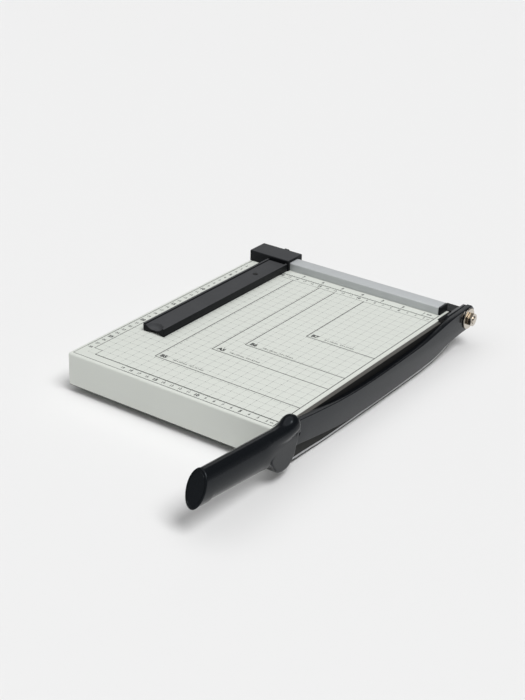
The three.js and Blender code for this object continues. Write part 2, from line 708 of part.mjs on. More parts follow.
const gripEndY = collarY - gripLength;
const gripAxisZ = (y) => collarZ - gripAxisDrop + handleRise(y);
const handleScrewHeadX = armMiddleX - gripHalfWidth + smallHeadHeight;
const pocketShare = endCapSpigotShare + (2 * seatGap) / gripEndHalfWidth;
const guardInnerX = armMiddleX - guardInnerDrop;
const guardOuterX = armOuterX + collarCover;
const collarTopZ = collarZ + collarRise;
const collarFrontY = collarY - collarFront;

// An upright elliptic ring across the handle
function ring(y, centreZ, halfWidth, halfHeight) {
  return Array.from({ length: gripSides }, (_, side) => {
    const angle = -(side / gripSides) * Math.PI * 2;
    return [armMiddleX + halfWidth * Math.cos(angle), y, centreZ + halfHeight * Math.sin(angle)];
  });
}

// A ring of the grip's tapered body, a share of the way from the collar to the end face
function bodyRing(share, wide = 1, high = 1) {
  const y = collarY - share * gripLength;
  const halfWidth = THREE.MathUtils.lerp(gripHalfWidth, gripEndHalfWidth, share);
  const halfHeight = THREE.MathUtils.lerp(gripHalfHeight, gripEndHalfHeight, share);
  return ring(y, gripAxisZ(y), halfWidth * wide, halfHeight * high);
}

// A ring parallel to the oblique end face, set back from it
function endRing(back, scale = 1) {
  const y = gripEndY + back;
  const upright = ring(y, gripAxisZ(y), gripEndHalfWidth * scale, gripEndHalfHeight * scale);
  return upright.map(([px, py, pz]) => (
    [px, py + (pz - gripAxisZ(y)) * endSlopeShare - (px - armMiddleX) * endTurnShare, pz]));
}

// The knuckle over the collar: a ball whose tail sinks into the top of the grip
function makeKnuckle() {
  const middleY = collarY - knuckleBack;
  const middleZ = collarZ + knuckleRise;
  const rings = [];
  for (let step = 1; step < knuckleSteps; step += 1) {
    const angle = (step / knuckleSteps) * (Math.PI / 2);
    const radius = knuckleRadius * Math.sin(angle);
    rings.push(ring(middleY + knuckleRadius * Math.cos(angle), middleZ, radius, radius));
  }
  for (let step = 0; step <= knuckleSteps; step += 1) {
    const share = step / knuckleSteps;
    const y = middleY - share * knuckleTail;
    const sunkZ = gripAxisZ(y) + gripHalfHeight - knuckleSink - knuckleRadius;
    const z = THREE.MathUtils.lerp(middleZ, sunkZ, THREE.MathUtils.smoothstep(share, 0, 1));
    rings.push(ring(y, z, knuckleRadius, knuckleRadius));
  }
  return loft(rings);
}

// The collar's flat side with the finger guard below, thinned from inside towards its lower edge
function makeCollar() {
  const outline = collarShares.map(([along, down]) => (
    [collarFrontY - along * collarLength, collarTopZ - down * collarHeight]));
  const lowZ = collarTopZ - collarHeight;
  const wedge = [
    [guardInnerX - cutOverrun, lowZ + guardTaperHeight], [guardInnerX, lowZ + guardTaperHeight],
    [guardOuterX - guardEdge, lowZ], [guardOuterX - guardEdge, lowZ - cutOverrun],
    [guardInnerX - cutOverrun, lowZ - cutOverrun]].reverse();
  return plateAlongX(outline, guardInnerX, guardOuterX).subtract(
    barAlongY(wedge, collarFrontY - collarLength - cutOverrun, collarFrontY + cutOverrun));
}

// The grip: a shoulder, a straight tapered body with an oblique end, a knuckle and a collar
function makeGrip() {
  const rings = shoulderShares.map(([along, wide, high]) => (
    bodyRing((shoulderBack + along * shoulderLength) / gripLength, wide, high)));
  rings.push(...gripRingShares.map((share) => bodyRing(share)), endRing(endCapThickness + seatGap));
  let grip = loft(rings).add(makeKnuckle()).add(makeCollar());
  grip = grip.subtract(plateAlongX(armOutline(seatGap), armInnerX - seatGap, armOuterX + seatGap));
  grip = grip.subtract(block(leftX, armInnerX, frontY - seatGap, collarY, tableZ, seatGap));
  grip = grip.subtract(block(
    leftX, bladeOuterX + seatGap, frontY - seatGap, collarY, tableZ, seatGap - bladeTopDrop));
  const slotY = collarFrontY - slotBack;
  const slotZ = collarTopZ - slotDrop;
  const slot = [
    [slotY, slotZ], [slotY - slotWidth, slotZ],
    [slotY - slotWidth - slotLean, slotZ - slotHeight], [slotY - slotLean, slotZ - slotHeight]];
  grip = grip.subtract(plateAlongX(slot, guardOuterX - slotDepth, guardOuterX + cutOverrun));
  for (const place of handleScrewPlaces) {
    grip = grip.subtract(rod(
      "x", handleScrewHeadX, armOuterX + handleScrewBite + seatGap, smallShank + seatGap, place));
    grip = grip.subtract(rod(
      "x", leftX, handleScrewHeadX + smallHeadHeight + seatGap, smallHead + seatGap, place));
  }
  const pocketEnd = endCapThickness + endCapSpigotLength + seatGap;
  return grip.subtract(loft([endRing(pocketEnd, pocketShare), endRing(-cutOverrun, pocketShare)]));
}

function makeEndCap() {
  const plate = loft([endRing(endCapThickness), endRing(0)]);
  const spigot = loft([
    endRing(endCapThickness + endCapSpigotLength, endCapSpigotShare),
    endRing(endCapThickness / 2, endCapSpigotShare)]);
  return plate.add(spigot);
}

addPiece("handle_grip", makeGrip(), gripPlastic);
addPiece("handle_end_cap", makeEndCap(), gripPlastic);
handleScrewPlaces.forEach((place, index) => {
  const neck = handleScrewHeadX + smallHeadHeight;
  addPiece(`handle_screw_${index + 1}`,
    panScrew("x", neck - smallHeadHeight, neck, armOuterX + handleScrewBite, place), zinc);
});

// The guide block: a saddle over the fence with a leg behind the board for the lock screw
const guideY0 = -guideBlockFront;
const guideY1 = backY + guideBlockBack;
const knobPlace = { x: (guideX0 + guideX1) / 2, z: knobHeightOverBoard };
const guideArmX1 = guideX1 - guideBlockChamfer;
const guideArmX0 = guideArmX1 - guideArmWidth;
const guideMiddleX = (guideArmX0 + guideArmX1) / 2;
const magnetTop = guideArmHeight - guideArmRecess - guideArmWeb - seatGap;
const magnetScrewPlace = { x: guideMiddleX, y: guideY0 - magnetScrewInset };
const guideScrewPlaces = guideScrewShares.map((share) => (
  { x: guideArmX0 + share * guideArmWidth, z: seatGap + (guideArmHeight - guideArmRecess) / 2 }));

function makeGuideBlock() {
  const cut = guideBlockChamfer;
  const section = [
    [guideY0, seatGap], [-seatGap, seatGap], [-seatGap, fenceHeight + seatGap],
    [backY + seatGap, fenceHeight + seatGap], [backY + seatGap, -guideBlockSkirt],
    [guideY1, -guideBlockSkirt], [guideY1, guideBlockTop - cut], [guideY1 - cut, guideBlockTop],
    [guideY0 + cut, guideBlockTop], [guideY0, guideBlockTop - cut],
  ];
  let body = plateAlongX(section, guideX0, guideX1);
  for (const place of guideScrewPlaces) {
    body = body.subtract(rod("y", guideY0 - cutOverrun, cutOverrun, guideScrewRadius + seatGap, place));
    body = body.subtract(rod(
      "y", -seatGap - guideScrewHeadHeight - seatGap, cutOverrun, guideScrewHead + seatGap, place));
  }
  return body.subtract(rod("y", backY, guideY1 + cutOverrun, lockScrewRadius + seatGap, knobPlace));
}

// The guide arm: a moulded channel, open below, with raised lips and an arched free end
function makeGuideArm() {
  const endY = -guideArmReach;
  const rootY = guideY0 - seatGap;
  const top = guideArmHeight;
  const webZ = top - guideArmRecess - guideArmWeb;
  let arm = block(guideArmX0, guideArmX1, endY, rootY, seatGap, top);
  arm = arm.subtract(block(
    guideArmX0 + guideArmLip, guideArmX1 - guideArmLip, endY - cutOverrun, rootY + cutOverrun,
    top - guideArmRecess, top + cutOverrun));
  arm = arm.subtract(block(
    guideArmX0 + guideArmWall, guideArmX1 - guideArmWall, endY + guideArmEndWall, rootY - guideArmEndWall,
    seatGap - cutOverrun, webZ));
  const archPlace = { x: guideMiddleX, z: seatGap + fingerArchHeight - fingerArchRadius };
  arm = arm.subtract(rod(
    "y", endY - cutOverrun, endY + fingerArchDepth, fingerArchRadius, archPlace, wideSides));
  const scoop = new THREE.SphereGeometry(thumbScoopRadius, wideSides, roundSides);
  scoop.translate(guideMiddleX, endY, top - guideArmRecess - thumbScoopDepth + thumbScoopRadius);
  arm = arm.subtract(solid(scoop));
  const holeEndY = rootY - guideScrewLength;
  for (const place of guideScrewPlaces) {
    arm = arm.subtract(rod("y", holeEndY, rootY + cutOverrun, guideScrewRadius + seatGap, place));
  }
  const recessZ = top - guideArmRecess - magnetScrewHeadHeight;
  arm = arm.subtract(rod("z", recessZ, top, magnetScrewHead + seatGap, magnetScrewPlace));
  return arm.subtract(rod("z", seatGap, top, magnetScrewRadius + seatGap, magnetScrewPlace));
}

function makeMagnet() {
  const strip = block(
    guideMiddleX - magnetWidth / 2, guideMiddleX + magnetWidth / 2,
    -guideArmReach + magnetEndGap, guideY0 - magnetEndGap, magnetTop - magnetThickness, magnetTop);
  return strip.subtract(rod("z", 0, guideArmHeight, magnetScrewRadius + seatGap, magnetScrewPlace));
}

function makeMagnetScrew() {
  const neck = guideArmHeight - guideArmRecess - magnetScrewHeadHeight + seatGap;
  return panScrew(
    "z", neck + magnetScrewHeadHeight, neck, magnetTop - magnetThickness, magnetScrewPlace,
    magnetScrewRadius, magnetScrewHead);
}

// The knob: a round body with shallow finger grooves round it
function makeKnob() {
  const y0 = guideY1 + seatGap;
  let knob = rod("y", y0, y0 + knobLength, knobRadius, knobPlace, wideSides);
  for (let lobe = 0; lobe < knobLobes; lobe += 1) {
    const angle = (lobe / knobLobes) * Math.PI * 2;
    const groove = {
      x: knobPlace.x + Math.cos(angle) * (knobRadius + knobLobeDepth),
      z: knobPlace.z + Math.sin(angle) * (knobRadius + knobLobeDepth),
    };
    knob = knob.subtract(rod(
      "y", y0 - cutOverrun, y0 + knobLength + cutOverrun, 2 * knobLobeDepth, groove, roundSides / 2));
  }
  const socketEnd = y0 + knobSocket + seatGap;
  return knob.subtract(rod("y", y0 - cutOverrun, socketEnd, lockScrewRadius + seatGap, knobPlace));
}

addPiece("guide_block", makeGuideBlock(), blackPlastic);
addPiece("guide_arm", makeGuideArm(), blackPlastic);
addPiece("guide_magnet", makeMagnet(), magnetRubber);
addPiece("magnet_screw", makeMagnetScrew(), zinc);
guideScrewPlaces.forEach((place, index) => {
  const screw = panScrew(
    "y", -seatGap, -seatGap - guideScrewHeadHeight, guideY0 - guideScrewLength, place,
    guideScrewRadius, guideScrewHead);
  addPiece(`guide_screw_${index + 1}`, screw, zinc);
});
const shoe = block(
  knobPlace.x - shoeLength / 2, knobPlace.x + shoeLength / 2, backY - shoeThickness, backY,
  seatGap, seatGap + shoeHeight);
addPiece("clamp_shoe", shoe, zinc);
addPiece("lock_knob", makeKnob(), blackPlastic);
addPiece("lock_screw", rod(
  "y", backY + seatGap, guideY1 + seatGap + knobSocket, lockScrewRadius, knobPlace), zinc);

// The origin goes to the bottom centre of the whole cutter
const bounds = new THREE.Box3().setFromObject(cutter);
const middle = bounds.getCenter(new THREE.Vector3());
cutter.position.set(-middle.x, -middle.y, -bounds.min.z);

export default cutter;
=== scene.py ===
# The looks of a desk paper cutter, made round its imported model.
# Shapes are worked out in millimetres in the cutter's own frame: x = 0 is the cut plane with +X away from
# the board, y = 0 the front face of the fence with -Y towards the handle, and z = 0 the board's top.
import json
import math

import bmesh
import bpy
import numpy as np
from mathutils import Matrix, Vector

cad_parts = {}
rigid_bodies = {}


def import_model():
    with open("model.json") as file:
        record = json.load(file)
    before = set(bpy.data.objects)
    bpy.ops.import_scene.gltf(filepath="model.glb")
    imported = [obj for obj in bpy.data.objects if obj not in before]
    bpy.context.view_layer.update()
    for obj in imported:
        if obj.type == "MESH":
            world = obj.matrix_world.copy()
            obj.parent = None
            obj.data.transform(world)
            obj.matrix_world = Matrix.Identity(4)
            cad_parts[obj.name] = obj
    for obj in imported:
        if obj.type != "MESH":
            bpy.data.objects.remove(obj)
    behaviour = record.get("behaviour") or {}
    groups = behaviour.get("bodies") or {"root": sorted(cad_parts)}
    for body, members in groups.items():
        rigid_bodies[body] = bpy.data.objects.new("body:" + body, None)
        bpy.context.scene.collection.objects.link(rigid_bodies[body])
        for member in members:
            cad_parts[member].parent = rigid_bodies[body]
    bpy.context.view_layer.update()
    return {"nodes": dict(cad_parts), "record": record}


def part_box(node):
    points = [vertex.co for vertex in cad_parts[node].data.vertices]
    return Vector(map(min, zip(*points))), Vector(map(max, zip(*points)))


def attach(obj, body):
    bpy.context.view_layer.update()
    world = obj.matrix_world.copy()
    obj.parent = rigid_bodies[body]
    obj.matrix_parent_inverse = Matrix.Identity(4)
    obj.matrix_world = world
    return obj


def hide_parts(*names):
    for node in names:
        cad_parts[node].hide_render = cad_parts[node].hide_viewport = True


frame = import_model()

mm = 0.001
scene = bpy.context.scene
scene.view_settings.view_transform = "Standard"
origin = np.array([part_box("bed_knife")[1].x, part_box("fence_rail")[0].y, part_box("base_tray")[1].z])


def local_box(node):
    """A node's two corners in the cutter's own frame, in millimetres."""
    low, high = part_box(node)
    return (np.array(low) - origin) / mm, (np.array(high) - origin) / mm


# Sizes that several pieces share
seat_gap = 0.3
tray0, tray1 = local_box("base_tray")
bar0, bar1 = local_box("arm_bar")
washer0, washer1 = local_box("flat_washer")
table_z = local_box("rubber_foot_1")[0][2]
pivot_y, pivot_z = (washer0[1] + washer1[1]) / 2, (washer0[2] + washer1[2]) / 2
bar_middle_x = (bar0[0] + bar1[0]) / 2


# Shapes

def full_turn(sides):
    return np.linspace(0, 2 * math.pi, sides, endpoint=False)


def rim(radius, places):
    """How far in and how deep a rim lies that is rounded by a quarter circle, from the end face on."""
    turn = np.linspace(0, math.pi / 2, places)
    return radius * (1 - np.sin(turn)), radius * (1 - np.cos(turn))


def other_axes(axis):
    return [other for other in range(3) if other != axis]


def placed(name, data):
    """A new object in the scene that holds the data."""
    made = bpy.data.objects.new(name, data)
    scene.collection.objects.link(made)
    return made


def grid_faces(rows, columns, looped=False):
    """Quads between the points of a grid whose columns close round the piece, with its two end rows
    filled, or with its last row joined to its first where it is looped."""
    index = np.arange(rows * columns).reshape(rows, columns)
    along = np.vstack([index, index[:1]]) if looped else index
    ring = np.hstack([along, along[:, :1]])
    quads = np.stack([ring[:-1, :-1], ring[1:, :-1], ring[1:, 1:], ring[:-1, 1:]], -1).reshape(-1, 4)
    faces = quads.tolist()
    if not looped:
        faces += [index[0].tolist(), index[-1][::-1].tolist()]
    return faces


def shade(mesh, sharp_angle):
    """Shades a mesh smooth up to sharp_angle degrees."""
    mesh.shade_smooth()
    mesh.set_sharp_from_angle(angle=math.radians(sharp_angle))


def new_piece(name, points, faces, sharp_angle):
    """A closed piece, its faces turned outwards, from points in millimetres in the cutter's own frame."""
    mesh = bpy.data.meshes.new(name)
    mesh.from_pydata((origin + np.asarray(points).reshape(-1, 3) * mm).tolist(), [], faces)
    work = bmesh.new()
    work.from_mesh(mesh)
    if work.calc_volume(signed=True) < 0:
        bmesh.ops.reverse_faces(work, faces=work.faces[:])
    work.to_mesh(mesh)
    work.free()
    shade(mesh, sharp_angle)
    return placed(name, mesh)


def skin(name, grid, looped=False, sharp_angle=35):
    """A closed skin over a grid of points of shape (rows, columns, 3)."""
    return new_piece(name, grid, grid_faces(*grid.shape[:2], looped), sharp_angle)


def bake_modifiers(piece, sharp_angle=35):
    """Replaces the piece's mesh by what its modifiers make of it."""
    graph = bpy.context.evaluated_depsgraph_get()
    mesh = bpy.data.meshes.new_from_object(piece.evaluated_get(graph))
    piece.modifiers.clear()
    piece.data = mesh
    shade(mesh, sharp_angle)


def cut(piece, *tools, sharp_angle=35):
    """Cuts each tool out of the piece and removes the tool."""
    for tool in tools:
        modifier = piece.modifiers.new("cut", "BOOLEAN")
        modifier.operation = "DIFFERENCE"
        modifier.solver = "EXACT"
        modifier.object = tool
    bake_modifiers(piece, sharp_angle)
    for tool in tools:
        bpy.data.objects.remove(tool)
    return piece


def inset(outline, distance):
    """An anticlockwise outline moved inwards: each corner goes along the mean of its two edge normals,
    so far that both edges move by the distance."""
    edge = np.roll(outline, -1, 0) - outline
    normal = np.stack([-edge[:, 1], edge[:, 0]], -1) / np.linalg.norm(edge, axis=1, keepdims=True)
    before = np.roll(normal, 1, 0)
    mean = normal + before
    return outline + distance * mean / (1 + (normal * before).sum(1, keepdims=True))


def rounded_corners(outline, radius, steps):
    """An outline whose corners are replaced by parabolic arcs that start radius away from each corner,
    or 0.45 of the edge's length where that is less."""
    outline = np.asarray(outline, float)
    to_before = np.roll(outline, 1, 0) - outline
    to_after = np.roll(outline, -1, 0) - outline
    starts = []
    for edge in (to_before, to_after):
        length = np.linalg.norm(edge, axis=1, keepdims=True)
        starts.append(outline + edge * np.minimum(radius / length, 0.45))
    share = np.linspace(0, 1, steps + 1)[None, :, None]
    arc = (1 - share) ** 2 * starts[0][:, None] + 2 * share * (1 - share) * outline[:, None]
    return (arc + share ** 2 * starts[1][:, None]).reshape(-1, 2)


def straight_bar(name, outline, axis, start, stop, edge=0.0, steps=3):
    """An outline carried straight along an axis from start to stop, with both rims rounded by edge."""
    outline = np.asarray(outline, float)
    after = np.roll(outline, -1, 0)
    if (outline[:, 0] * after[:, 1] - after[:, 0] * outline[:, 1]).sum() < 0:
        outline = outline[::-1]
    insets, depths = rim(edge, steps + 1 if edge > 0 else 1)
    places = np.concatenate([start + depths, (stop - depths)[::-1]])
    rings = [inset(outline, distance) for distance in np.concatenate([insets, insets[::-1]])]
    grid = np.zeros((len(places), len(outline), 3))
    grid[:, :, other_axes(axis)] = np.array(rings)
    grid[:, :, axis] = places[:, None]
    return skin(name, grid)


def box_outline(x0, x1, y0, y1):
    """The four corners of a rectangle."""
    return np.array([[x0, y0], [x1, y0], [x1, y1], [x0, y1]])


def turned(name, profile, axis, centre, sides=64, looped=False):
    """A profile of (radius, place along the axis) turned round the axis through centre. Where it is
    looped, its ends meet and the piece has a hole."""
    radius, place = np.array(profile, float).T
    grid = np.zeros((len(radius), sides, 3))
    for other, wave in zip(other_axes(axis), (np.cos, np.sin)):
        grid[:, :, other] = centre[other] + radius[:, None] * wave(full_turn(sides))
    grid[:, :, axis] = place[:, None]
    return skin(name, grid, looped)


def smooth_curve(points, steps):
    """A uniform Catmull-Rom curve through the points, at steps + 1 even values of its parameter."""
    points = np.asarray(points, float)
    place = np.linspace(0, len(points) - 1, steps + 1)
    index = np.minimum(place.astype(int), len(points) - 2)
    share = (place - index)[:, None]
    p0, p1 = points[np.maximum(index - 1, 0)], points[index]
    p2, p3 = points[index + 1], points[np.minimum(index + 2, len(points) - 1)]
    return 0.5 * (2 * p1 + (p2 - p0) * share + (2 * p0 - 5 * p1 + 4 * p2 - p3) * share ** 2
                  + (3 * p1 - p0 - 3 * p2 + p3) * share ** 3)


def closed_curve(points, steps):
    """A uniform Catmull-Rom curve that runs once round the points, with steps places for each of them."""
    points = np.asarray(points, float)
    padded = np.vstack([points[-1:], points, points[:2]])
    return smooth_curve(padded, steps * (len(padded) - 1))[steps:-steps - 1]


def looked_up(table, places):
    """The columns of a table after its first, smoothly interpolated at the places in that one."""
    curve = smooth_curve(table, 400).T
    return [np.interp(places, curve[0], column) for column in curve[1:]]


def dress(piece, material, body, slot, *replaced):
    """Gives a new piece its material and body, and hides the nodes that it stands for; slot is not used."""
    piece.data.materials.clear()
    piece.data.materials.append(material)
    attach(piece, body)
    if replaced:
        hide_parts(*replaced)
    return piece


weld = 0.002
end_depth = 3  # what lies this near to a piece's right end moves with it


def eased(node, width, material, slot, longer):
    """A node's own shape with its edges rounded by width, and its right end moved by longer, both in
    millimetres."""
    mesh = frame["nodes"][node].data.copy()
    mesh.name = node + "_eased"
    work = bmesh.new()
    work.from_mesh(mesh)
    bmesh.ops.remove_doubles(work, verts=work.verts, dist=weld * mm)
    bmesh.ops.dissolve_limit(work, angle_limit=math.radians(1), verts=work.verts, edges=work.edges)
    end_x = max(vertex.co.x for vertex in work.verts) - end_depth * mm
    for vertex in work.verts:
        vertex.co.x += longer * mm * (vertex.co.x > end_x)
    work.to_mesh(mesh)
    work.free()
    piece = placed(node + "_eased", mesh)
    bevel = piece.modifiers.new("edges", "BEVEL")
    bevel.width = width * mm
    bevel.segments = 3
    bevel.limit_method = "ANGLE"
    bevel.angle_limit = math.radians(30)
    bake_modifiers(piece, 40)
    body = next(body for body, nodes in frame["record"]["behaviour"]["bodies"].items() if node in nodes)
    dress(piece, material, body, slot, node)


# Materials

class Nodes:
    """Short ways to add nodes to a tree."""

    def __init__(self, tree):
        self.tree = tree

    def feed(self, socket, value):
        """Links the value to the socket where a node gives it, and otherwise sets it there."""
        if isinstance(value, bpy.types.NodeSocket):
            self.tree.links.new(value, socket)
        else:
            socket.default_value = value

    def add(self, kind, inputs=(), **settings):
        made = self.tree.nodes.new(kind)
        for name, value in settings.items():
            setattr(made, name, value)
        for key, value in dict(inputs).items():
            self.feed(made.inputs[key], value)
        return made

    def part(self, vector, axis):
        return self.add("ShaderNodeSeparateXYZ", {"Vector": vector}).outputs[axis]

    def ramp(self, value, start, stop, low=0.0, high=1.0):
        """A number that goes from low to high as the value goes from start to stop."""
        return self.add("ShaderNodeMapRange", {0: value, 1: start, 2: stop, 3: low, 4: high}).outputs[0]


class Surface(Nodes):
    """A material with one Principled shader, and short ways to feed it."""

    def __init__(self, name, colour, roughness, metallic=0.0, specular=0.5, tint=(1, 1, 1)):
        self.material = bpy.data.materials.new(name)
        self.material.use_nodes = True
        super().__init__(self.material.node_tree)
        self.shader = self.tree.nodes["Principled BSDF"]
        for socket, value in {"Base Color": (*colour, 1), "Roughness": roughness, "Metallic": metallic,
                              "Specular IOR Level": specular, "Specular Tint": (*tint, 1)}.items():
            self.set(socket, value)
        texture = self.add("ShaderNodeTexCoord")
        self.coords, self.normal = texture.outputs["Object"], texture.outputs["Normal"]

    def set(self, name, value):
        self.feed(self.shader.inputs[name], value)

    def math(self, operation, a, b=0.0, c=0.0):
        return self.add("ShaderNodeMath", {0: a, 1: b, 2: c}, operation=operation).outputs[0]

    def place(self, axis):
        """The place along an axis in the cutter's own frame, in millimetres."""
        return self.math("DIVIDE", self.math("SUBTRACT", self.part(self.coords, axis), origin[axis]), mm)

    def within(self, share, *limits):
        """The share where every (value, low, high) has its value between the two, and 0 elsewhere."""
        for value, low, high in limits:
            for operation, limit in (("GREATER_THAN", low), ("LESS_THAN", high)):
                share = self.math("MULTIPLY", share, self.math(operation, value, limit))
        return share

    def noise(self, period, detail=2.0, stretch=(1, 1, 1)):
        """Noise whose blotches are about period millimetres wide, stretched along the axes."""
        scale = [1 / (period * mm * s) for s in stretch]
        place = self.add("ShaderNodeMapping", {"Vector": self.coords, "Scale": scale}).outputs[0]
        made = self.add("ShaderNodeTexNoise", {"Vector": place, "Scale": 1.0, "Detail": detail})
        return made.outputs["Fac"]

    def between(self, noise, low, high):
        """A number that follows the middle values of a noise from low to high."""
        return self.ramp(noise, 0.3, 0.7, low, high)

    def mix(self, share, a, b):
        """The colour a where share is 0 and b where it is 1."""
        a, b = (value if isinstance(value, bpy.types.NodeSocket) else (*value, 1) for value in (a, b))
        return self.add("ShaderNodeMix", {0: share, 6: a, 7: b}, data_type="RGBA").outputs[2]

    def mottled(self, colour, spread, period):
        """The colour, darker and lighter by the share spread in blotches of period millimetres."""
        ends = (tuple(channel * factor for channel in colour) for factor in (1 - spread, 1 + spread))
        return self.mix(self.noise(period, 3), *ends)

    def smudged(self, roughness, spread, period=9):
        """The roughness, more and less by spread in blotches of period millimetres."""
        return self.between(self.noise(period, 4), roughness - spread, roughness + spread)

    def finished(self, colour, roughness, height, depth):
        """The material with a colour, a roughness, and the height map's relief, depth millimetres deep."""
        self.set("Base Color", colour)
        self.set("Roughness", roughness)
        self.set("Normal", self.add("ShaderNodeBump", {"Height": height, "Distance": depth * mm}).outputs[0])
        return self.material


cool = (0.86, 0.93, 1.0)  # tint of the reflections in the black finishes
mottle, mottle_period = 0.12, 35


def plain_finish(name, colour, roughness, grain, relief, wear=0.05, **more):
    """A moulded or painted finish: fine relief with grain millimetres between its bumps, and slow changes
    of colour and roughness."""
    surface = Surface(name, colour, roughness, **more)
    return surface.finished(surface.mottled(colour, mottle, mottle_period), surface.smudged(roughness, wear),
                            surface.noise(grain), relief)


def grained_finish():
    """Black plastic with a fine grain, whose upward faces are matt and painted greyer: a painted sheen of the
    light from above.
    """
    side_colour, painted_sheen_colour = (0.004, 0.0042, 0.005), (0.058, 0.059, 0.062)
    side_roughness, top_rougher = 0.5, 0.12
    surface = Surface("moulded_black", side_colour, side_roughness, specular=0.16, tint=cool)
    # Painted sheen: the closer a face points up, the more of the greyer top colour it gets.
    painted_sheen_share = surface.ramp(surface.part(surface.normal, 2), 0.6, 0.95)
    top = surface.mottled(painted_sheen_colour, mottle, mottle_period)
    rough = surface.math("MULTIPLY_ADD", painted_sheen_share, top_rougher, surface.smudged(side_roughness, 0.04))
    return surface.finished(surface.mix(painted_sheen_share, side_colour, top), rough, surface.noise(0.35), 0.012)


enamel = (0.004, 0.0048, 0.006)
far = 1000.0  # past every place on the cutter
reflection_x, reflection_z = (-5.5, -2.6), (-0.6, far)
reflection_y = (4.0, 9.0)  # the painted reflection fades in from the first place to the second


def bracket_finish():
    """Black enamel, with a matt grey painted on the ear's top behind the arm's clearance as a painted
    reflection of the light surroundings.
    """
    surface = Surface("bracket_black", enamel, 0.3, specular=0.18, tint=cool)
    x, y, z = (surface.place(axis) for axis in range(3))
    # Painted reflection: the ear's top is painted a lighter grey where it mirrors the light surroundings.
    painted_reflection = surface.within(surface.ramp(y, *reflection_y), (x, *reflection_x), (z, *reflection_z))
    grey = surface.mix(surface.noise(6, 3), (0.1, 0.102, 0.105), (0.135, 0.137, 0.14))
    rough = surface.math("MULTIPLY_ADD", painted_reflection, 0.25, surface.smudged(0.3, 0.04))
    return surface.finished(surface.mix(painted_reflection, enamel, grey), rough, surface.noise(1.2), 0.004)


def nut_finish():
    """Nickel with streaks, whose flats are painted darker as shade while its end faces stay bright."""
    surface = Surface("nut_nickel", (0.6, 0.55, 0.48), 0.2, metallic=1.0)
    flats_from = 0.42  # along Y a flat's normal measures 0.5 or 1
    # Painted shade: the flats take the darker copy of the nickel, the end faces the bright one.
    flat = surface.math("GREATER_THAN", surface.math("ABSOLUTE", surface.part(surface.normal, 1)), flats_from)
    streaks = surface.noise(0.5, 3, (8, 1, 1))
    shaded_brown = surface.mix(streaks, (0.07, 0.056, 0.042), (0.22, 0.19, 0.15))
    lit_face_nickel = surface.mix(streaks, (0.56, 0.51, 0.45), (0.64, 0.59, 0.52))
    return surface.finished(surface.mix(flat, lit_face_nickel, shaded_brown), surface.between(streaks, 0.14, 0.26), streaks,
                            0.002)


def metal_finish(name, colour, roughness, stretch=(1, 1, 1), relief=0.004, spread=0.1, metallic=1.0):
    """A ground, brushed or plated metal: fine noise, drawn out along any strokes, changes its roughness
    and relief."""
    surface = Surface(name, colour, roughness, metallic=metallic)
    strokes = surface.noise(0.35, 3, stretch)
    rough = surface.between(strokes, roughness - 0.07, roughness + 0.07)
    return surface.finished(surface.mottled(colour, spread, 18), rough, strokes, relief)


paint_colour = (0.67, 0.695, 0.65)
grid_colour = (0.05, 0.052, 0.056)
# painted shade: the black of the corner beside the pivot and of the bead under the wall
painted_shade_colour = (0.006, 0.006, 0.007)
grid_pitch, grid_line = 10, 0.32
dot_pitch, dot_share = 1.67, 0.46
crossing_dot = 0.8
grid_x, grid_y, grid_z = (-240.0, -10.0), (-290.5, -19.7), (-0.2, far)
shade_corner_x, shade_corner_y = (-7.0, far), (-9.5, far)  # the corner beside the pivot, painted black as a painted shadow
# below this height the bead is painted black: painted shade for the gap under the wall
shade_bead_z = -34.3


def board_finish():
    """Satin paint with a fine orange peel, and a dotted print of crossing lines on the top face. Painted
    black as shade are the bead under the wall, for the dark gap above the table, and the corner beside the
    pivot, for the shadow there."""
    surface = Surface("board_paint_printed", paint_colour, 0.42)
    x, y, z = (surface.place(axis) for axis in range(3))

    def near(value, pitch, reach):
        """1 where the value lies within reach of a multiple of pitch."""
        return surface.math("GREATER_THAN", reach, surface.math("PINGPONG", value, pitch / 2))

    def dots(across, along):
        """1 on the dots of the lines that lie every grid_pitch across."""
        return surface.math("MULTIPLY", near(across, grid_pitch, grid_line / 2),
                            near(along, dot_pitch, dot_share * dot_pitch / 2))

    crossings = surface.math("MULTIPLY", near(x, grid_pitch, crossing_dot / 2),
                             near(y, grid_pitch, crossing_dot / 2))
    printed = surface.math("MAXIMUM", surface.math("MAXIMUM", dots(x, y), dots(y, x)), crossings)
    printed = surface.within(printed, (x, *grid_x), (y, *grid_y), (z, *grid_z))
    paint = surface.mottled(paint_colour, 0.015, 60)
    # painted shade and shadow: black on the corner beside the pivot and on the bead under the wall
    corner = surface.within(1.0, (x, *shade_corner_x), (y, *shade_corner_y))
    painted_shade = surface.math("MAXIMUM", corner, surface.math("LESS_THAN", z, shade_bead_z))
    colour = surface.mix(painted_shade, surface.mix(printed, paint, grid_colour), painted_shade_colour)
    rough = surface.math("MULTIPLY_ADD", painted_shade, 0.3, surface.smudged(0.42, 0.04, 14))
    return surface.finished(colour, rough, surface.noise(1.6), 0.012)


ground_z = (-0.75, -0.35)  # the grinding fades in from the first height to the second
# ground steel shows in front of this place; behind it the top is painted black as shade near the bracket
ground_until_shade_y = (-far, -14.5)


def knife_finish():
    """Steel ground on its upper face in front of the bracket and blackened on its sides; behind that the
    upper face is painted black as shade.
    """
    black = (0.006, 0.006, 0.006)
    surface = Surface("ground_knife", (0.1, 0.1, 0.1), 0.34, metallic=0.2, specular=0.25)
    along, height = surface.place(1), surface.place(2)
    ground = surface.within(surface.ramp(height, *ground_z), (along, *ground_until_shade_y))
    strokes = surface.noise(0.35, 3, (1, 40, 1))
    steel = surface.mix(strokes, (0.085, 0.081, 0.075), (0.13, 0.124, 0.114))
    rough = surface.math("MULTIPLY_ADD", ground, -0.5, surface.between(strokes, 0.8, 0.94))
    return surface.finished(surface.mix(ground, black, steel), rough, strokes, 0.004)


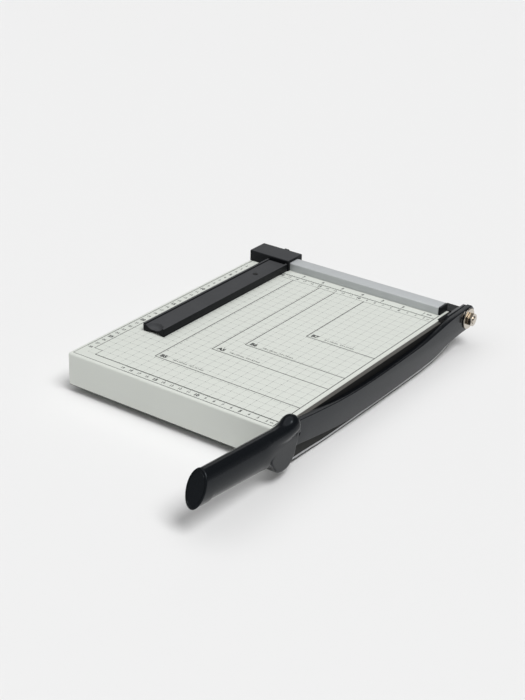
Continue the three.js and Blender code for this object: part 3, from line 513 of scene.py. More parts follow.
board_paint = board_finish()
ink = plain_finish("printing_ink", (0.012, 0.013, 0.015), 0.5, 0.6, 0.002)
black_steel = plain_finish("black_enamel", enamel, 0.2, 1.8, 0.002, wear=0.03, specular=0.36, tint=cool)
bracket_black = bracket_finish()
black_plastic = grained_finish()
grip_plastic = plain_finish("handle_black", (0.0055, 0.0066, 0.008), 0.18, 0.5, 0.002, wear=0.02,
                            specular=0.22, tint=cool)
# a dark screw finish, used on the magnet screw in place of its slot's zinc
dark_screw = plain_finish("screw_dark", (0.012, 0.012, 0.013), 0.4, 0.5, 0.003, metallic=0.6)
foot_rubber = plain_finish("foot_rubber", (0.02, 0.02, 0.02), 0.8, 0.4, 0.03)
magnet_rubber = plain_finish("magnet_strip", (0.045, 0.042, 0.04), 0.75, 0.5, 0.02)
knife_steel = knife_finish()
blade_face = plain_finish("blade_dark", (0.018, 0.019, 0.018), 0.42, 0.8, 0.004, specular=0.08)
blade_bevel = metal_finish("ground_bevel", (0.5, 0.51, 0.52), 0.42, (1, 1, 30), metallic=0.6)
nut_nickel = nut_finish()
nickel = metal_finish("bright_nickel", (0.6, 0.55, 0.48), 0.16, relief=0.001)
zinc = metal_finish("zinc_plate", (0.55, 0.56, 0.57), 0.34, relief=0.002, spread=0.2)
fence_metal = metal_finish("fence_satin", (0.52, 0.54, 0.55), 0.5, (40, 1, 1), metallic=0.2, spread=0.03)
bronze = metal_finish("bush_bronze", (0.45, 0.3, 0.14), 0.34)


# Board

wall_height = tray1[2] - tray0[2]
corner_radius, edge_radius, fold_radius = 1.8, 2.4, 1.8
sheet = 1.2
flange_width = 14
bead_drop = 1.8  # the bead that edges the wall hangs this far below the flange; it is painted black as the shade of the gap under the wall
arc_places = 9
least_radius = 0.3  # of the board's inner corners


def make_board():
    """A pressed sheet: a profile of (inset from the outline, height) carried round a rectangle whose
    corners are rounded. It goes over the top edge, down the wall, under the flange and back inside."""
    quarter = np.linspace(0, math.pi / 2, arc_places)
    sine, cosine = np.sin(quarter), np.cos(quarter)
    inner, top_inner = fold_radius - sheet, edge_radius - sheet
    over = np.stack([edge_radius * (1 - sine), -edge_radius * (1 - cosine)], -1)
    under = np.stack([fold_radius * (1 - cosine), fold_radius * (1 - sine) - wall_height - bead_drop], -1)
    lip = [[fold_radius + bead_drop, -wall_height], [flange_width, -wall_height],
           [flange_width, sheet - wall_height]]
    back = np.stack([fold_radius - inner * sine, fold_radius - inner * cosine - wall_height], -1)
    roof = np.stack([edge_radius - top_inner * cosine, top_inner * sine - edge_radius], -1)
    depth, height = np.vstack([over, under, lip, back, roof]).T[..., None]
    turn = np.concatenate([quarter + side * math.pi / 2 for side in range(4)])
    right_side, far_side = np.repeat([1, 0, 0, 1], arc_places), np.repeat([1, 1, 0, 0], arc_places)
    radius = np.maximum(corner_radius - depth, least_radius)
    centre_x = np.where(right_side, tray1[0] - depth - radius, tray0[0] + depth + radius)
    centre_y = np.where(far_side, tray1[1] - depth - radius, tray0[1] + depth + radius)
    grid = np.stack([centre_x + radius * np.cos(turn), centre_y + radius * np.sin(turn),
                     np.repeat(height, len(turn), 1)], -1)
    dress(skin("board_shell", grid, sharp_angle=30), board_paint, "root", "board_paint", "base_tray")


# Print on the board: the border, the rulers and the outlines of the paper sizes

ink_up = 0.03  # print stands this far proud of the paint, and as far into it
border_x = -10.0
ruler_x0, ruler_x1 = -249.8, -239.9
front_y0, front_y1 = -300.5, -290.7
notch_x, notch_y = -230.0, -280.3  # the blank square at the near left corner ends here
far_y0, far_y1 = -19.7, -10.9
near_fence_y = -1.0
heavy, light, hair = 0.9, 0.52, 0.28
paper_sizes = {"B7": (91, 128.2), "B6": (128, 182), "A5": (148, 210.2), "B5": (182, 257.3)}
inch = 25.4


def line_boxes():
    """The rectangles of every printed line, as rows of x0, x1, y0, y1."""
    rows = []

    def across(y, x0, x1, width):
        rows.append((x0, x1, y - width / 2, y + width / 2))

    def along(x, y0, y1, width):
        rows.append((x - width / 2, x + width / 2, y0, y1))

    def tick(step, sizes, whole=10):
        """The length of a ruler's mark: the longest at each whole, the next at each half."""
        return sizes[0] if step % whole == 0 else sizes[1] if step % (whole // 2) == 0 else sizes[2]

    along(border_x, front_y0, near_fence_y, heavy * 0.9)
    across(front_y1, notch_x, border_x, heavy)
    across(front_y0, ruler_x0, border_x, light * 1.2)
    along(ruler_x0, front_y0, near_fence_y, light)
    along(ruler_x1, notch_y, near_fence_y, light)
    across(notch_y, ruler_x1, notch_x, light)
    along(notch_x, front_y1, notch_y, light)
    across(far_y1, ruler_x1, border_x, heavy * 0.8)
    across(far_y0, ruler_x1, border_x, hair)
    for wide, long in paper_sizes.values():
        along(-wide, -long, far_y0, heavy)
        across(-long, -wide, border_x, heavy)
    for step in range(11, 190):
        size = tick(step, (3.0, 1.8, 1.1))
        along(-step, front_y1 - size, front_y1, hair)
        along(-step, front_y0, front_y0 + size * 0.7, hair)
    for step in range(11, 240):
        along(-step, far_y1 - tick(step, (2.6, 1.7, 1.0)), far_y1, hair)
    for step in range(1, 281):
        size = tick(step, (2.2, 1.5, 0.9))
        across(-step, ruler_x0, ruler_x0 + size, hair)
        across(-step, ruler_x1 - size * 0.8, ruler_x1, hair)
    for eighth in range(4, 76):
        along(-eighth * inch / 8, far_y1, far_y1 + tick(eighth, (3.4, 2.2, 1.2), 8), hair)
    return np.array(rows)


def make_print_lines():
    """One flat closed box for each printed line."""
    x0, x1, y0, y1 = line_boxes().T
    low, high = np.full_like(x0, -ink_up), np.full_like(x0, ink_up)
    corners = np.stack([np.stack(corner, -1) for z in (low, high) for corner in (
        (x0, y0, z), (x1, y0, z), (x1, y1, z), (x0, y1, z))], 1)
    faces = (np.array(grid_faces(2, 4)) + 8 * np.arange(len(x0))[:, None, None]).reshape(-1, 4)
    dress(new_piece("printed_lines", corners, faces.tolist(), 20), ink, "root", "board_paint")


def lettering(text, height, heft):
    """The points and faces of a flat closed text whose digits are height millimetres tall. Its left
    end is at x = 0 and its middle at y = 0."""
    curve = bpy.data.curves.new("lettering", "FONT")
    curve.body = text
    curve.resolution_u = 3
    curve.offset = heft
    curve.extrude = ink_up
    holder = placed("lettering", curve)
    graph = bpy.context.evaluated_depsgraph_get()
    mesh = bpy.data.meshes.new_from_object(holder.evaluated_get(graph))
    points = np.array([vertex.co for vertex in mesh.vertices])
    faces = [list(face.vertices) for face in mesh.polygons]
    for data, item in ((bpy.data.objects, holder), (bpy.data.curves, curve), (bpy.data.meshes, mesh)):
        data.remove(item)
    digit_height = 0.7
    points[:, 0] -= points[:, 0].min()
    points[:, :2] *= height / digit_height
    points[:, 1] -= height / 2
    return points, faces


def ruler_numbers(numbers, place, small, large):
    """A ruler's labels, with every fifth number larger. place gives the middle of a number's label."""
    return [(str(number), *place(number), small if number % 5 else large, number % 5 == 0, "middle")
            for number in numbers]


def make_print_numbers():
    """Ruler numbers, unit marks and the sizes of the papers, all in one mesh."""
    front_y, left_x = (front_y0 + front_y1) / 2, (ruler_x0 + ruler_x1) / 2
    labels = [
        *ruler_numbers(range(1, 20), lambda n: (-10 * n, front_y), 3.0, 3.9),
        *ruler_numbers(range(2, 29), lambda n: (left_x, -10 * n - 0.6), 3.0, 3.9),
        *ruler_numbers(range(2, 24), lambda n: (-10 * n, -15.2), 2.7, 3.4),
        *((str(n), -n * inch, -4.9, 3.6, True, "middle") for n in range(1, 10)),
        ("inch", -21.9, -4.9, 2.4, True, "left"),
        ("cm", -16.5, -15.4, 2.0, False, "left"),
        ("cm", -16.4, -295.4, 2.2, False, "left")]
    for name, (wide, long) in paper_sizes.items():
        labels.append((name, 3.4 - wide, 5.3 - long, 5.0, True, "left"))
        sizes = f"{wide:.0f} x {long:.0f} mm   {wide / inch:.1f} x {long / inch:.1f} inch"
        labels.append((sizes, 19 - wide, 4.6 - long, 2.1, False, "left"))
    points, faces = [], []
    for text, x, y, height, big, side in labels:
        letters, letter_faces = lettering(text, height, 0.045 if big else 0.02)
        shift = letters[:, 0].max() / 2 if side == "middle" else 0
        letters += [x - shift, y, 0]
        start = sum(map(len, points))
        points.append(letters)
        faces += [[start + corner for corner in face] for face in letter_faces]
    dress(new_piece("printed_numbers", np.vstack(points), faces, 20), ink, "root", "board_paint")


# Arm: the bar follows a chord from the pivot to the handle's collar, less a smooth sag

arm_width = 24.5
arm_belly = [  # share of the reach, and how much lower than the plain bar its lower edge hangs
    [0, 0], [0.06, 0.5], [0.16, 1.9], [0.3, 2.3], [0.6, 2.2], [0.76, 2.1], [0.83, 1.7], [0.9, 1.2], [1, 0.2]]
arm_sag = 10.2
arm_rise = 1.5
arm_sag_shares = [
    [0, 0.06], [0.1, 0.14], [0.2, 0.5], [0.3, 0.82], [0.43, 0.94], [0.56, 1], [0.68, 0.96], [0.79, 0.76],
    [0.9, 0.39], [1, 0]]
arm_end = 12.4
arm_end_chamfer = 4.2
arm_edge = 0.7
bush_radius = 6
collar_y = tray0[1] + 24
collar_z = pivot_z + arm_rise
arm_reach = pivot_y - collar_y
collar_grip = 14
tang_width, tang_length = 16, 72
tang_slope = 0.091
blade_thickness = 2.2
blade_top = -14.0
blade_low = -42.5
blade_belly = 9.1
blade_belly_shares = [
    [0, 1], [0.05, 0.62], [0.1, 0.3], [0.16, 0.12], [0.23, 0.03], [0.35, 0], [0.5, 0], [0.76, 0.02],
    [0.87, 0.19], [1, 0.37]]
blade_back_y, blade_front_y = 6.0, tray0[1] + 4
blade_bevel_height = 5.0
blade_edge_height = 1.3
blade_land = 0.6
blade_end_cut = 9


def handle_rise(y):
    return (collar_y - y) * tang_slope


def arm_outline(grow):
    """The bar seen from the side, as (y, z): its centre line with half its width above and a lower edge of
    its own, a chamfered end behind the pivot and a narrower tang in the handle, grown by a margin."""
    half, tang_half = arm_width / 2 + grow, tang_width / 2 + grow
    along, sag = smooth_curve(np.array(arm_sag_shares) * [arm_reach, arm_sag], 160).T
    centre = np.stack([pivot_y - along, pivot_z + arm_rise * along / arm_reach - sag], -1)
    below = half + looked_up(arm_belly, along / arm_reach)[0]
    far_y, far_z = pivot_y + arm_end + grow, centre[0, 1]
    shoulder_y = collar_y - collar_grip - grow
    tang_y = shoulder_y - tang_length
    shoulder_z, tang_z = collar_z + handle_rise(shoulder_y), collar_z + handle_rise(tang_y)
    return np.vstack([
        [[far_y - arm_end_chamfer, far_z + half]], centre + [0, half],
        [[shoulder_y, shoulder_z + half], [shoulder_y, shoulder_z + tang_half], [tang_y, tang_z + tang_half],
         [tang_y, tang_z - tang_half], [shoulder_y, shoulder_z - tang_half],
         [shoulder_y, shoulder_z - below[-1]]],
        np.stack([centre[:, 0], centre[:, 1] - below], -1)[::-1],
        [[far_y - arm_end_chamfer, far_z - half], [far_y, far_z - half + arm_end_chamfer],
         [far_y, far_z + half - arm_end_chamfer]]])


def make_arm_bar():
    """The painted bar, with the rebate for the blade and the hole for the bush."""
    bar = straight_bar("arm_bar_painted", arm_outline(0), 0, bar0[0], bar1[0], arm_edge)
    room = box_outline(blade_front_y - seat_gap, blade_back_y + seat_gap, blade_low - 10,
                       blade_top + seat_gap)
    rebate = straight_bar("rebate", room, 0, bar0[0] - 1, bar0[0] + blade_thickness + seat_gap)
    bore = bush_radius + seat_gap
    hole = turned("hole", [[bore, bar0[0] - 1], [bore, bar1[0] + 1]], 0, (0, pivot_y, pivot_z))
    dress(cut(bar, rebate, hole), black_steel, "arm", "black_steel", "arm_bar")


def make_blade():
    """The blade: a strip from its straight back to a lower edge that bows down, with a bright ground
    bevel along that edge. Its section is carried from end to end, and each end's lower corner slopes up."""
    x0, x1 = bar0[0], bar0[0] + blade_thickness
    y = np.linspace(blade_back_y, blade_front_y, 161)
    along = (blade_back_y - y) / (blade_back_y - blade_front_y)
    edge = blade_low + blade_belly * looked_up(blade_belly_shares, along)[0]
    slope = np.minimum(np.minimum(blade_back_y - y, y - blade_front_y), blade_end_cut)
    edge = np.maximum(edge, blade_low + blade_end_cut - slope)
    top = np.full_like(y, blade_top)
    section = [(x1, top), (x1, edge + blade_bevel_height), (x0 + blade_land, edge + blade_edge_height),
               (x0 + blade_land / 2, edge), (x0, edge), (x0, top)]
    grid = np.stack([np.stack([np.full_like(y, x), y, z], -1) for x, z in section], 1)
    blade = dress(skin("blade_ground", grid, sharp_angle=12), blade_face, "arm", "ground_steel", "arm_blade")
    blade.data.materials.append(blade_bevel)
    on_bevel = np.tile(np.arange(len(section)) == 1, len(y) - 1)
    index = np.zeros(len(blade.data.polygons), int)
    index[:len(on_bevel)] = on_bevel
    blade.data.polygons.foreach_set("material_index", index)


# Handle

grip_length = 149.1
grip_drop = 2.1
grip_half = np.array([11.4, 16.7])
grip_end_half = np.array([10.5, 15.6])
end_slope, end_turn = 0.46, 0.08
cap_thickness = 1.4
cap_rim = 0.7
cap_face_backs, cap_face_shrinks = [0, 0.4, 0.4, 0.05, 0.12], [1.5, 1.6, 2.0, 2.1, 9]  # groove and middle
cap_section = 3.0  # the cap's outline is the grip's section this far past its end
seam_gap = 0.12
grip_sides = 192
heel_y, heel_run, heel_drop = -414.5, 5.0, 1.5
shoulder = [  # behind the collar; shares of the half width inside, and of the height above and below
    [6, 0.46, 0.42, 0.42], [9, 0.56, 0.5, 0.66], [12, 0.66, 0.6, 0.9], [17, 0.76, 0.75, 1],
    [24, 0.86, 0.88, 1], [32, 0.93, 0.96, 1], [42, 0.98, 1, 1], [54, 1, 1, 1]]
flat_x, flat_y, flat_slope = 5.0, 4.0, 0.115  # the flat side is a plane that leans out towards the grip
flat_blend = 0.4
flat_power = ([16, 66], [3.2, 2.0])  # of the lower outer quarter's superellipse, from place to place
knuckle_half, knuckle_top = 9.4, 9.9
knuckle_back, knuckle_rise = 12.4, 11.8
knuckle_tail = [  # behind the knuckle's middle; how far it has sunk, and its half width
    [0, 0, 1], [3.5, 0.08, 0.99], [7, 0.29, 0.96], [10.5, 0.51, 0.94], [14, 0.68, 0.93], [19, 0.84, 0.93],
    [25, 0.94, 0.94], [32, 0.99, 0.95], [38, 1, 0.94]]
knuckle_sink = 0.6
guard_drop = 7.5
collar_outline = [  # behind the collar's front, above the bar's middle there
    [14, -0.6], [8.8, 4], [5, 9.6], [2.2, 8.6], [1.9, 1.4], [4, -2.6], [6.9, -5.2], [9.4, -9], [11.2, -13.6],
    [14.2, -18.6], [19, -22], [25.5, -24.2], [33, -23.9], [40, -22.2], [46, -19], [51, -12], [54.5, -7],
    [55.5, -4], [53.5, -1.5], [46, -0.5], [30, 0]]
guard_edge, guard_taper = 10.5, 9
slot_width, slot_height, slot_depth = 2.7, 9.6, 5.5
slot_lean, slot_back, slot_rise = 3.1, 2.6, 1.6
voxel = 0.55
smooth_turns = 12


def grip_axis(y):
    return collar_z - grip_drop + handle_rise(y)


def ellipses(y, middle_z, half_x, half_z):
    """Upright ellipses round the bar's middle plane, one for each place y."""
    turn = full_turn(grip_sides)
    y, middle_z, half_x, half_z = (
        np.broadcast_to(value, np.shape(y))[:, None] for value in (y, middle_z, half_x, half_z))
    x, z = bar_middle_x + half_x * np.cos(turn), middle_z + half_z * np.sin(turn)
    return np.stack([x, y + 0 * turn, z], -1)


def flat_reach(y):
    """How far the plane of the flat side lies from the bar's middle."""
    return flat_x + flat_slope * (collar_y - y - flat_y)


def grip_section(y, scale=1.0):
    """Rings of the grip at the places y: tapered ellipses whose half axes follow the shoulder's shares
    near the collar. The outer half axis is the smooth minimum of the grip's own and the flat side's
    distance. The lower outer quarter is a superellipse whose power falls to 2 behind the shoulder, and
    the lower half drops to a heel."""
    back = (collar_y - y)[:, None]
    inner, high, low = looked_up(shoulder, back)
    side, rise = np.cos(full_turn(grip_sides)), np.sin(full_turn(grip_sides))
    half = grip_half + back[..., None] / grip_length * (grip_end_half - grip_half)
    half_x, half_z = half[..., 0], half[..., 1]
    outer = half_x - flat_blend * np.logaddexp(0, (half_x - flat_reach(y)[:, None]) / flat_blend)
    squareness = np.where((side > 0) & (rise < 0), 2 / np.interp(back, *flat_power), 1)
    side, rise = (np.sign(value) * abs(value) ** squareness for value in (side, rise))
    x = scale * np.where(side > 0, outer, half_x * inner) * side
    share = np.clip((heel_y - y) / heel_run, 0, 1)[:, None]
    heel = heel_drop * share ** 2 * (3 - 2 * share) * (rise < 0)
    z = scale * (half_z * np.where(rise > 0, high, low) + heel) * rise
    return np.stack([bar_middle_x + x, y[:, None] + 0 * x, grip_axis(y)[:, None] + z], -1)


def grip_body():
    """The grip from the shoulder to past its end face."""
    back = np.concatenate([np.linspace(shoulder[0][0], 64, 100), np.linspace(64, grip_length * 1.12, 80)[1:]])
    return skin("grip_body", grip_section(collar_y - back))


def knuckle():
    """A ball in front. Behind its middle its rings go on, sink by a smooth curve to just under the grip's
    top, get narrower, and end inside the grip."""
    middle_y, middle_z = collar_y - knuckle_back, collar_z + knuckle_rise
    turn = np.linspace(0.04, math.pi / 2, 16)
    back, sinking, share = smooth_curve(knuckle_tail, 60)[1:].T
    tail_y = middle_y - back
    sunk = grip_axis(tail_y) + grip_half[1] - knuckle_sink - knuckle_top * share
    y = np.concatenate([middle_y + knuckle_half * np.cos(turn), tail_y])
    size = np.concatenate([np.sin(turn), share])
    z = np.concatenate([np.full(len(turn), middle_z), middle_z + (sunk - middle_z) * sinking])
    return skin("knuckle", ellipses(y, z, knuckle_half * size, knuckle_top * size))


def collar():
    """The collar with the finger guard below: an upright plate whose outer face leans into the flat side's
    plane, thinned from inside towards its lower edge."""
    outline = closed_curve(np.array([collar_y, collar_z]) + np.array(collar_outline) * [-1, 1], 6)
    low_z = collar_z + np.array(collar_outline)[:, 1].min()
    x0, x1 = bar_middle_x - guard_drop, bar_middle_x + flat_x
    plate = straight_bar("collar", outline, 0, x0, x1, 0.7, 4)
    points = np.array([vertex.co for vertex in plate.data.vertices])
    share = np.clip((points[:, 0] / mm - origin[0] / mm - x0) / (x1 - x0), 0, 1)
    lean = flat_reach((points[:, 1] - origin[1]) / mm) - flat_x
    points[:, 0] += share * lean * mm
    plate.data.vertices.foreach_set("co", points.ravel())
    wedge = [[x0 - 1, low_z + guard_taper], [x0 - 1, low_z - 1], [x1 - guard_edge, low_z - 1],
             [x1 - guard_edge, low_z], [x0, low_z + guard_taper]]
    return cut(plate, straight_bar("wedge", wedge, 1, collar_y - 60, collar_y))


def joined(name, *parts):
    """One mesh of all the parts, which may overlap."""
    work = bmesh.new()
    for part in parts:
        work.from_mesh(part.data)
    mesh = bpy.data.meshes.new(name)
    work.to_mesh(mesh)
    work.free()
    for part in parts:
        bpy.data.objects.remove(part)
    return placed(name, mesh)


def end_plane(y, back, x, z):
    """Where a plane parallel to the oblique end face lies along Y."""
    return y + back + (z - grip_axis(y)) * end_slope - (x - bar_middle_x) * end_turn


def oblique_block(name, back_from, back_to):
    """A block between two planes parallel to the end face, those distances behind it."""
    half = 40
    end_y = collar_y - grip_length
    corners = [(bar_middle_x + side * half, grip_axis(end_y) + rise * half)
               for side, rise in ((-1, -1), (1, -1), (1, 1), (-1, 1))]
    grid = [[(x, end_plane(end_y, back, x, z), z) for x, z in corners] for back in (back_from, back_to)]
    return skin(name, np.array(grid))


def make_grip():
    """The moulded grip: body, knuckle and collar are fused by a voxel mesh and smoothed, so that they flow
    into each other. Then the bar's pocket, the end face and the slot are cut."""
    grip = joined("grip_moulded", grip_body(), knuckle(), collar())
    remesh = grip.modifiers.new("fuse", "REMESH")
    remesh.mode = "VOXEL"
    remesh.voxel_size = voxel * mm
    smooth = grip.modifiers.new("flow", "SMOOTH")
    smooth.factor = 0.5
    smooth.iterations = smooth_turns
    bake_modifiers(grip)
    bar = straight_bar("bar_room", arm_outline(seat_gap), 0, bar0[0] - seat_gap, bar1[0] + seat_gap)
    rooms = [straight_bar(name, box_outline(-60, x1, tray0[1] - seat_gap, collar_y + 5), 2, table_z, z1)
             for name, x1, z1 in (("board_room", bar0[0], seat_gap),
                                  ("blade_room", bar0[0] + blade_thickness + seat_gap, blade_top + seat_gap))]
    slot_y, slot_z = collar_y - slot_back, collar_z + slot_rise
    side_x = bar_middle_x + flat_x
    corners = np.array([[0, 0], [-slot_width, 0], [-slot_width - slot_lean, -slot_height],
                        [-slot_lean, -slot_height]])
    slot = straight_bar("slot", [slot_y, slot_z] + corners, 0, side_x - slot_depth, side_x + 1)
    end = oblique_block("end", cap_thickness + seam_gap, -60)
    cut(grip, bar, *rooms, end, slot, sharp_angle=40)
    dress(grip, grip_plastic, "arm", "grip_plastic", "handle_grip")


def make_end_cap():
    """The end cap: rings parallel to the oblique end face, with a rounded rim and a fine groove round
    its flat middle. Each ring is the grip's section pushed onto its plane, scaled from the middle."""
    end_y = collar_y - grip_length
    backs, shrinks = rim(cap_rim, 6)
    backs = np.concatenate([[cap_thickness], backs, cap_face_backs])
    shrinks = np.concatenate([[0], shrinks, cap_face_shrinks]) / grip_end_half[0]
    rings = []
    for back, shrink in zip(backs, shrinks):
        ring = grip_section(np.array([end_y - cap_section]), 1 - shrink)[0]
        ring[:, 1] = end_plane(end_y, back, ring[:, 0], ring[:, 2])
        rings.append(ring)
    dress(skin("end_cap_moulded", np.array(rings), sharp_angle=40), grip_plastic, "arm", "grip_plastic",
          "handle_end_cap")


# Pivot

nut0, nut1 = local_box("pivot_nut")
bolt0, bolt1 = local_box("pivot_bolt")
washer_share = 0.94
washer_ease = 0.35
bolt_hole = 4.3
bolt_radius = 4.0
bolt_seat_x = -4.7  # the face under the bolt's head
chamfer_slope = 0.577
hexagon_sides = 96


def hexagon(name, low, high, x1, centre):
    """A hexagon as wide as the box from low to high, along X from the box's low end to x1. Its corners
    are turned off by a shallow cone at both ends."""
    turn = full_turn(hexagon_sides)
    flat = max(high[1:] - low[1:]) / 2 * math.cos(math.pi / 6)
    reach = flat / np.cos((turn + math.pi / 6) % (math.pi / 3) - math.pi / 6)
    back = chamfer_slope * (reach - flat)
    middle = np.full(hexagon_sides, flat * 0.96)
    rings = [(middle, low[0]), (reach, low[0] + back), (reach, x1 - back), (middle, x1)]
    grid = [np.stack([np.broadcast_to(place, hexagon_sides), centre[1] + radius * np.cos(turn),
                      centre[2] + radius * np.sin(turn)], -1) for radius, place in rings]
    return skin(name, np.array(grid), sharp_angle=25)


def make_pivot():
    """The washer, the chamfered nut and the bolt with its hexagon head and domed end."""
    centre = (0, pivot_y, pivot_z)
    radius = (washer1[1] - washer0[1]) / 2 * washer_share
    ease, x0, x1 = washer_ease, washer0[0], washer1[0]
    ring = [[bolt_hole, x0], [radius - ease, x0], [radius, x0 + ease], [radius, x1 - ease],
            [radius - ease, x1], [bolt_hole + ease, x1], [bolt_hole, x1 - ease]]
    washer = turned("washer_bright", ring, 0, centre, 96, looped=True)
    dress(washer, nickel, "root", "nickel", "flat_washer")
    nut = hexagon("nut_bright", nut0, nut1, nut1[0], centre)
    thread = turned("thread", [[bolt_hole, nut0[0] - 1], [bolt_hole, nut1[0] + 1]], 0, centre)
    dress(cut(nut, thread), nut_nickel, "root", "nickel", "pivot_nut")
    head = hexagon("bolt_head", bolt0, bolt1, bolt_seat_x - seat_gap, centre)
    end = bolt1[0]
    profile = [[bolt_radius, bolt0[0] + 1], [bolt_radius, end - 0.9], [bolt_radius - 0.7, end - 0.15],
               [bolt_radius - 1.6, end], [0.2, end]]
    shank = turned("bolt_shank", profile, 0, centre)
    dress(joined("bolt_bright", head, shank), nickel, "root", "nickel", "pivot_bolt")


# Side guide

guide0, guide1 = local_box("guide_arm")
guide_lip, guide_recess, guide_web, guide_wall, guide_end_wall = 2.6, 1.4, 2.0, 2.2, 13.0
arch_radius, arch_height, arch_depth = 16, 3.0, 6
notch = [[3.4, 4.2], [6.4, 5.0], [8.6, 6.3], [9.5, 7.0], [10.1, 7.3], [10.5, 10]]  # radius, height
notch_right, notch_back = 0.4, -0.2
screw_hole, screw_head, dimple_rim = 1.6, 2.9, 3.3  # radii


def make_guide_arm():
    """The guide's arm: a moulded channel with raised lips. Its free end has an arch below and a round thumb
    notch above."""
    x0, y0, z0 = guide0
    x1, y1, z1 = guide1
    middle = (x0 + x1) / 2
    floor_z = z1 - guide_recess
    section = [[x0, z0], [x1, z0], [x1, z1], [x1 - guide_lip, z1], [x1 - guide_lip, floor_z],
               [x0 + guide_lip, floor_z], [x0 + guide_lip, z1], [x0, z1]]
    arm = straight_bar("guide_arm_moulded", rounded_corners(section, 0.45, 4), 1, y0, y1, 0.25)
    below = straight_bar("below", box_outline(x0 + guide_wall, x1 - guide_wall, z0 - 1, floor_z - guide_web),
                         1, y0 + guide_end_wall, y1 - guide_end_wall)
    arch = turned("arch", [[arch_radius, y0 - 1], [arch_radius, y0 + arch_depth]], 1,
                  (middle, 0, z0 + arch_height - arch_radius), 256)
    thumb = turned("thumb", notch, 2, (middle + notch_right, y0 + notch_back, 0), 192)
    screw0, screw1 = local_box("magnet_screw")
    head_z = screw1[2] - 0.6
    profile = [[screw_hole, z0 - 1], [screw_hole, head_z], [screw_head, head_z], [screw_head, floor_z - 0.2],
               [dimple_rim, z1 + 1]]
    dimple = turned("dimple", profile, 2, (screw0 + screw1) / 2)
    cut(arm, below, arch, thumb, dimple)
    dress(arm, black_plastic, "guide", "black_plastic", "guide_arm")


# Lock knob

knob0, knob1 = local_box("lock_knob")
knob_flutes, knob_flute_depth, knob_round = 12, 0.8, 1.6
knob_sides = 240
knob_dent_in, knob_dent_deep = [4.5, 5.2], np.array([0.1, 0.6])  # the shallow dent in its face


def make_lock_knob():
    """The fluted knob: its rims are rounded, and at angle a its radius dips by the flutes' depth times
    cos(n a / 2)^4, less towards the rims and the dent in its face."""
    radius = (knob1[0] - knob0[0]) / 2
    centre_x, centre_z = (knob0[0] + knob1[0]) / 2, (knob0[2] + knob1[2]) / 2
    inward, depth = rim(knob_round, 8)
    shrink = np.concatenate([inward, inward[::-1], knob_dent_in])
    place = np.concatenate([knob0[1] + depth, (knob1[1] - depth)[::-1], knob1[1] - knob_dent_deep])
    side = full_turn(knob_sides)
    dip = knob_flute_depth * np.cos(knob_flutes * side / 2) ** 4 * np.exp(-shrink / 1.2)[:, None]
    ring = radius - shrink[:, None] - dip
    grid = np.stack([centre_x + ring * np.cos(side), np.repeat(place[:, None], knob_sides, 1),
                     centre_z + ring * np.sin(side)], -1)
    dress(skin("lock_knob_fluted", grid, sharp_angle=40), black_plastic, "lock", "black_plastic", "lock_knob")


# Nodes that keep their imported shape, or that shape with eased edges

fence_longer = 1.0


def make_small_pieces():
    """Edges of the sheet, cast and moulded pieces are eased; the rest only gets a material."""
    for node, width, material, slot, longer in (
            ("fence_rail", 0.25, fence_metal, "fence_aluminium", fence_longer),
            ("fence_cap_left", 0.3, black_plastic, "black_plastic", 0),
            ("fence_cap_right", 0.3, black_plastic, "black_plastic", fence_longer),
            ("bed_knife", 0.12, knife_steel, "ground_steel", 0),
            ("pivot_bracket", 0.3, bracket_black, "black_steel", 0),
            ("guide_block", 0.3, black_plastic, "black_plastic", 0)):
        eased(node, width, material, slot, longer)
    slots = {"foot_rubber": foot_rubber, "ground_steel": knife_steel, "nickel": nickel, "zinc_steel": zinc,
             "fence_aluminium": fence_metal, "bush_bronze": bronze, "magnet_rubber": magnet_rubber,
             "black_plastic": black_plastic, "black_steel": black_steel, "grip_plastic": grip_plastic,
             "board_paint": board_paint}
    for part in frame["record"]["subparts"]:
        mesh = frame["nodes"][part["node"]].data
        mesh.materials.clear()
        mesh.materials.append(slots[part["material_slot"]] if part["node"] != "magnet_screw" else dark_screw)


# Camera, light and floor

eye = (634.91, -1235.47, 637.03)
aim_azimuth, aim_elevation, aim_roll = 35.149, 26.291, 1.5
focal_length, sensor = 74.76, 36.0
surround_fade = (0.0, 0.35, 0.4, 0.08)  # from and to heights, and the strengths there


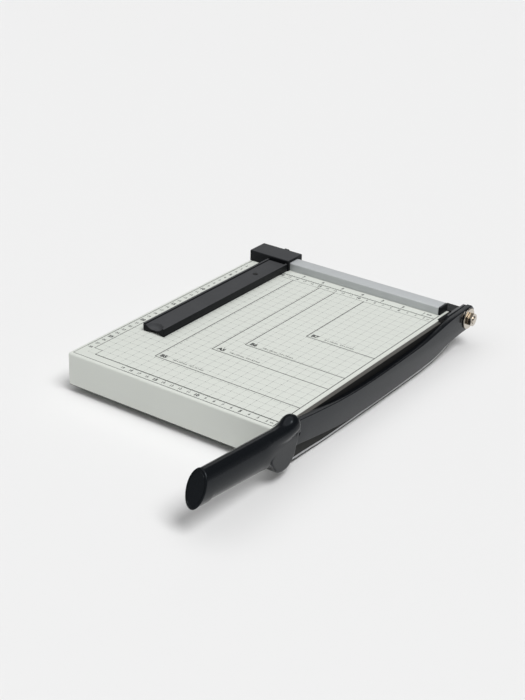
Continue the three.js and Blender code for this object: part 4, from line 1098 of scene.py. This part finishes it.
def make_camera():
    """A camera at the photograph's place, with its direction given by azimuth, elevation and roll."""
    azimuth, elevation, roll = (math.radians(v) for v in (aim_azimuth, aim_elevation, aim_roll))
    data = bpy.data.cameras.new("camera")
    data.lens = focal_length
    data.sensor_width = sensor
    camera = placed("camera", data)
    camera.matrix_world = (Matrix.Translation(Vector(origin + np.array(eye) * mm))
                           @ Matrix.Rotation(azimuth, 4, "Z")
                           @ Matrix.Rotation(math.pi / 2 - elevation, 4, "X") @ Matrix.Rotation(roll, 4, "Z"))
    scene.camera = camera


def add_sun(name, towards, energy, angle):
    """A distant soft light that lies in the direction towards, seen from the cutter."""
    lamp = bpy.data.lights.new(name, "SUN")
    lamp.energy = energy
    lamp.angle = math.radians(angle)
    light = placed(name, lamp)
    light.rotation_euler = Vector(towards).to_track_quat("Z", "Y").to_euler()


def make_studio():
    """A white surround, brightest at the horizon, three soft lights and a wide pale floor."""
    world = bpy.data.worlds.new("surround")
    world.use_nodes = True
    sky = Nodes(world.node_tree)
    height = sky.part(sky.add("ShaderNodeTexCoord").outputs["Generated"], 2)
    background = sky.tree.nodes["Background"]
    sky.feed(background.inputs["Strength"], sky.ramp(height, *surround_fade))
    sky.feed(background.inputs["Color"], (1, 1, 1, 1))
    scene.world = world
    add_sun("right_softbox", (0.5, -0.13, 0.85), 2.2, 30)
    add_sun("top_softbox", (-0.1, -0.2, 0.97), 1.3, 90)
    add_sun("back_softbox", (-0.45, 0.78, 0.44), 0.05, 18)
    half = 12.0
    mesh = bpy.data.meshes.new("floor")
    corners = [(x, y, 0) for x, y in box_outline(-half, half, -half, half)]
    mesh.from_pydata(corners, [], [(0, 1, 2, 3)])
    mesh.materials.append(Surface("pale_floor", (0.8, 0.8, 0.8), 0.9, specular=0.1).material)
    placed("floor", mesh)


make_camera()
make_studio()
make_board()
make_print_lines()
make_print_numbers()
make_arm_bar()
make_blade()
make_grip()
make_end_cap()
make_pivot()
make_guide_arm()
make_lock_knob()
make_small_pieces()
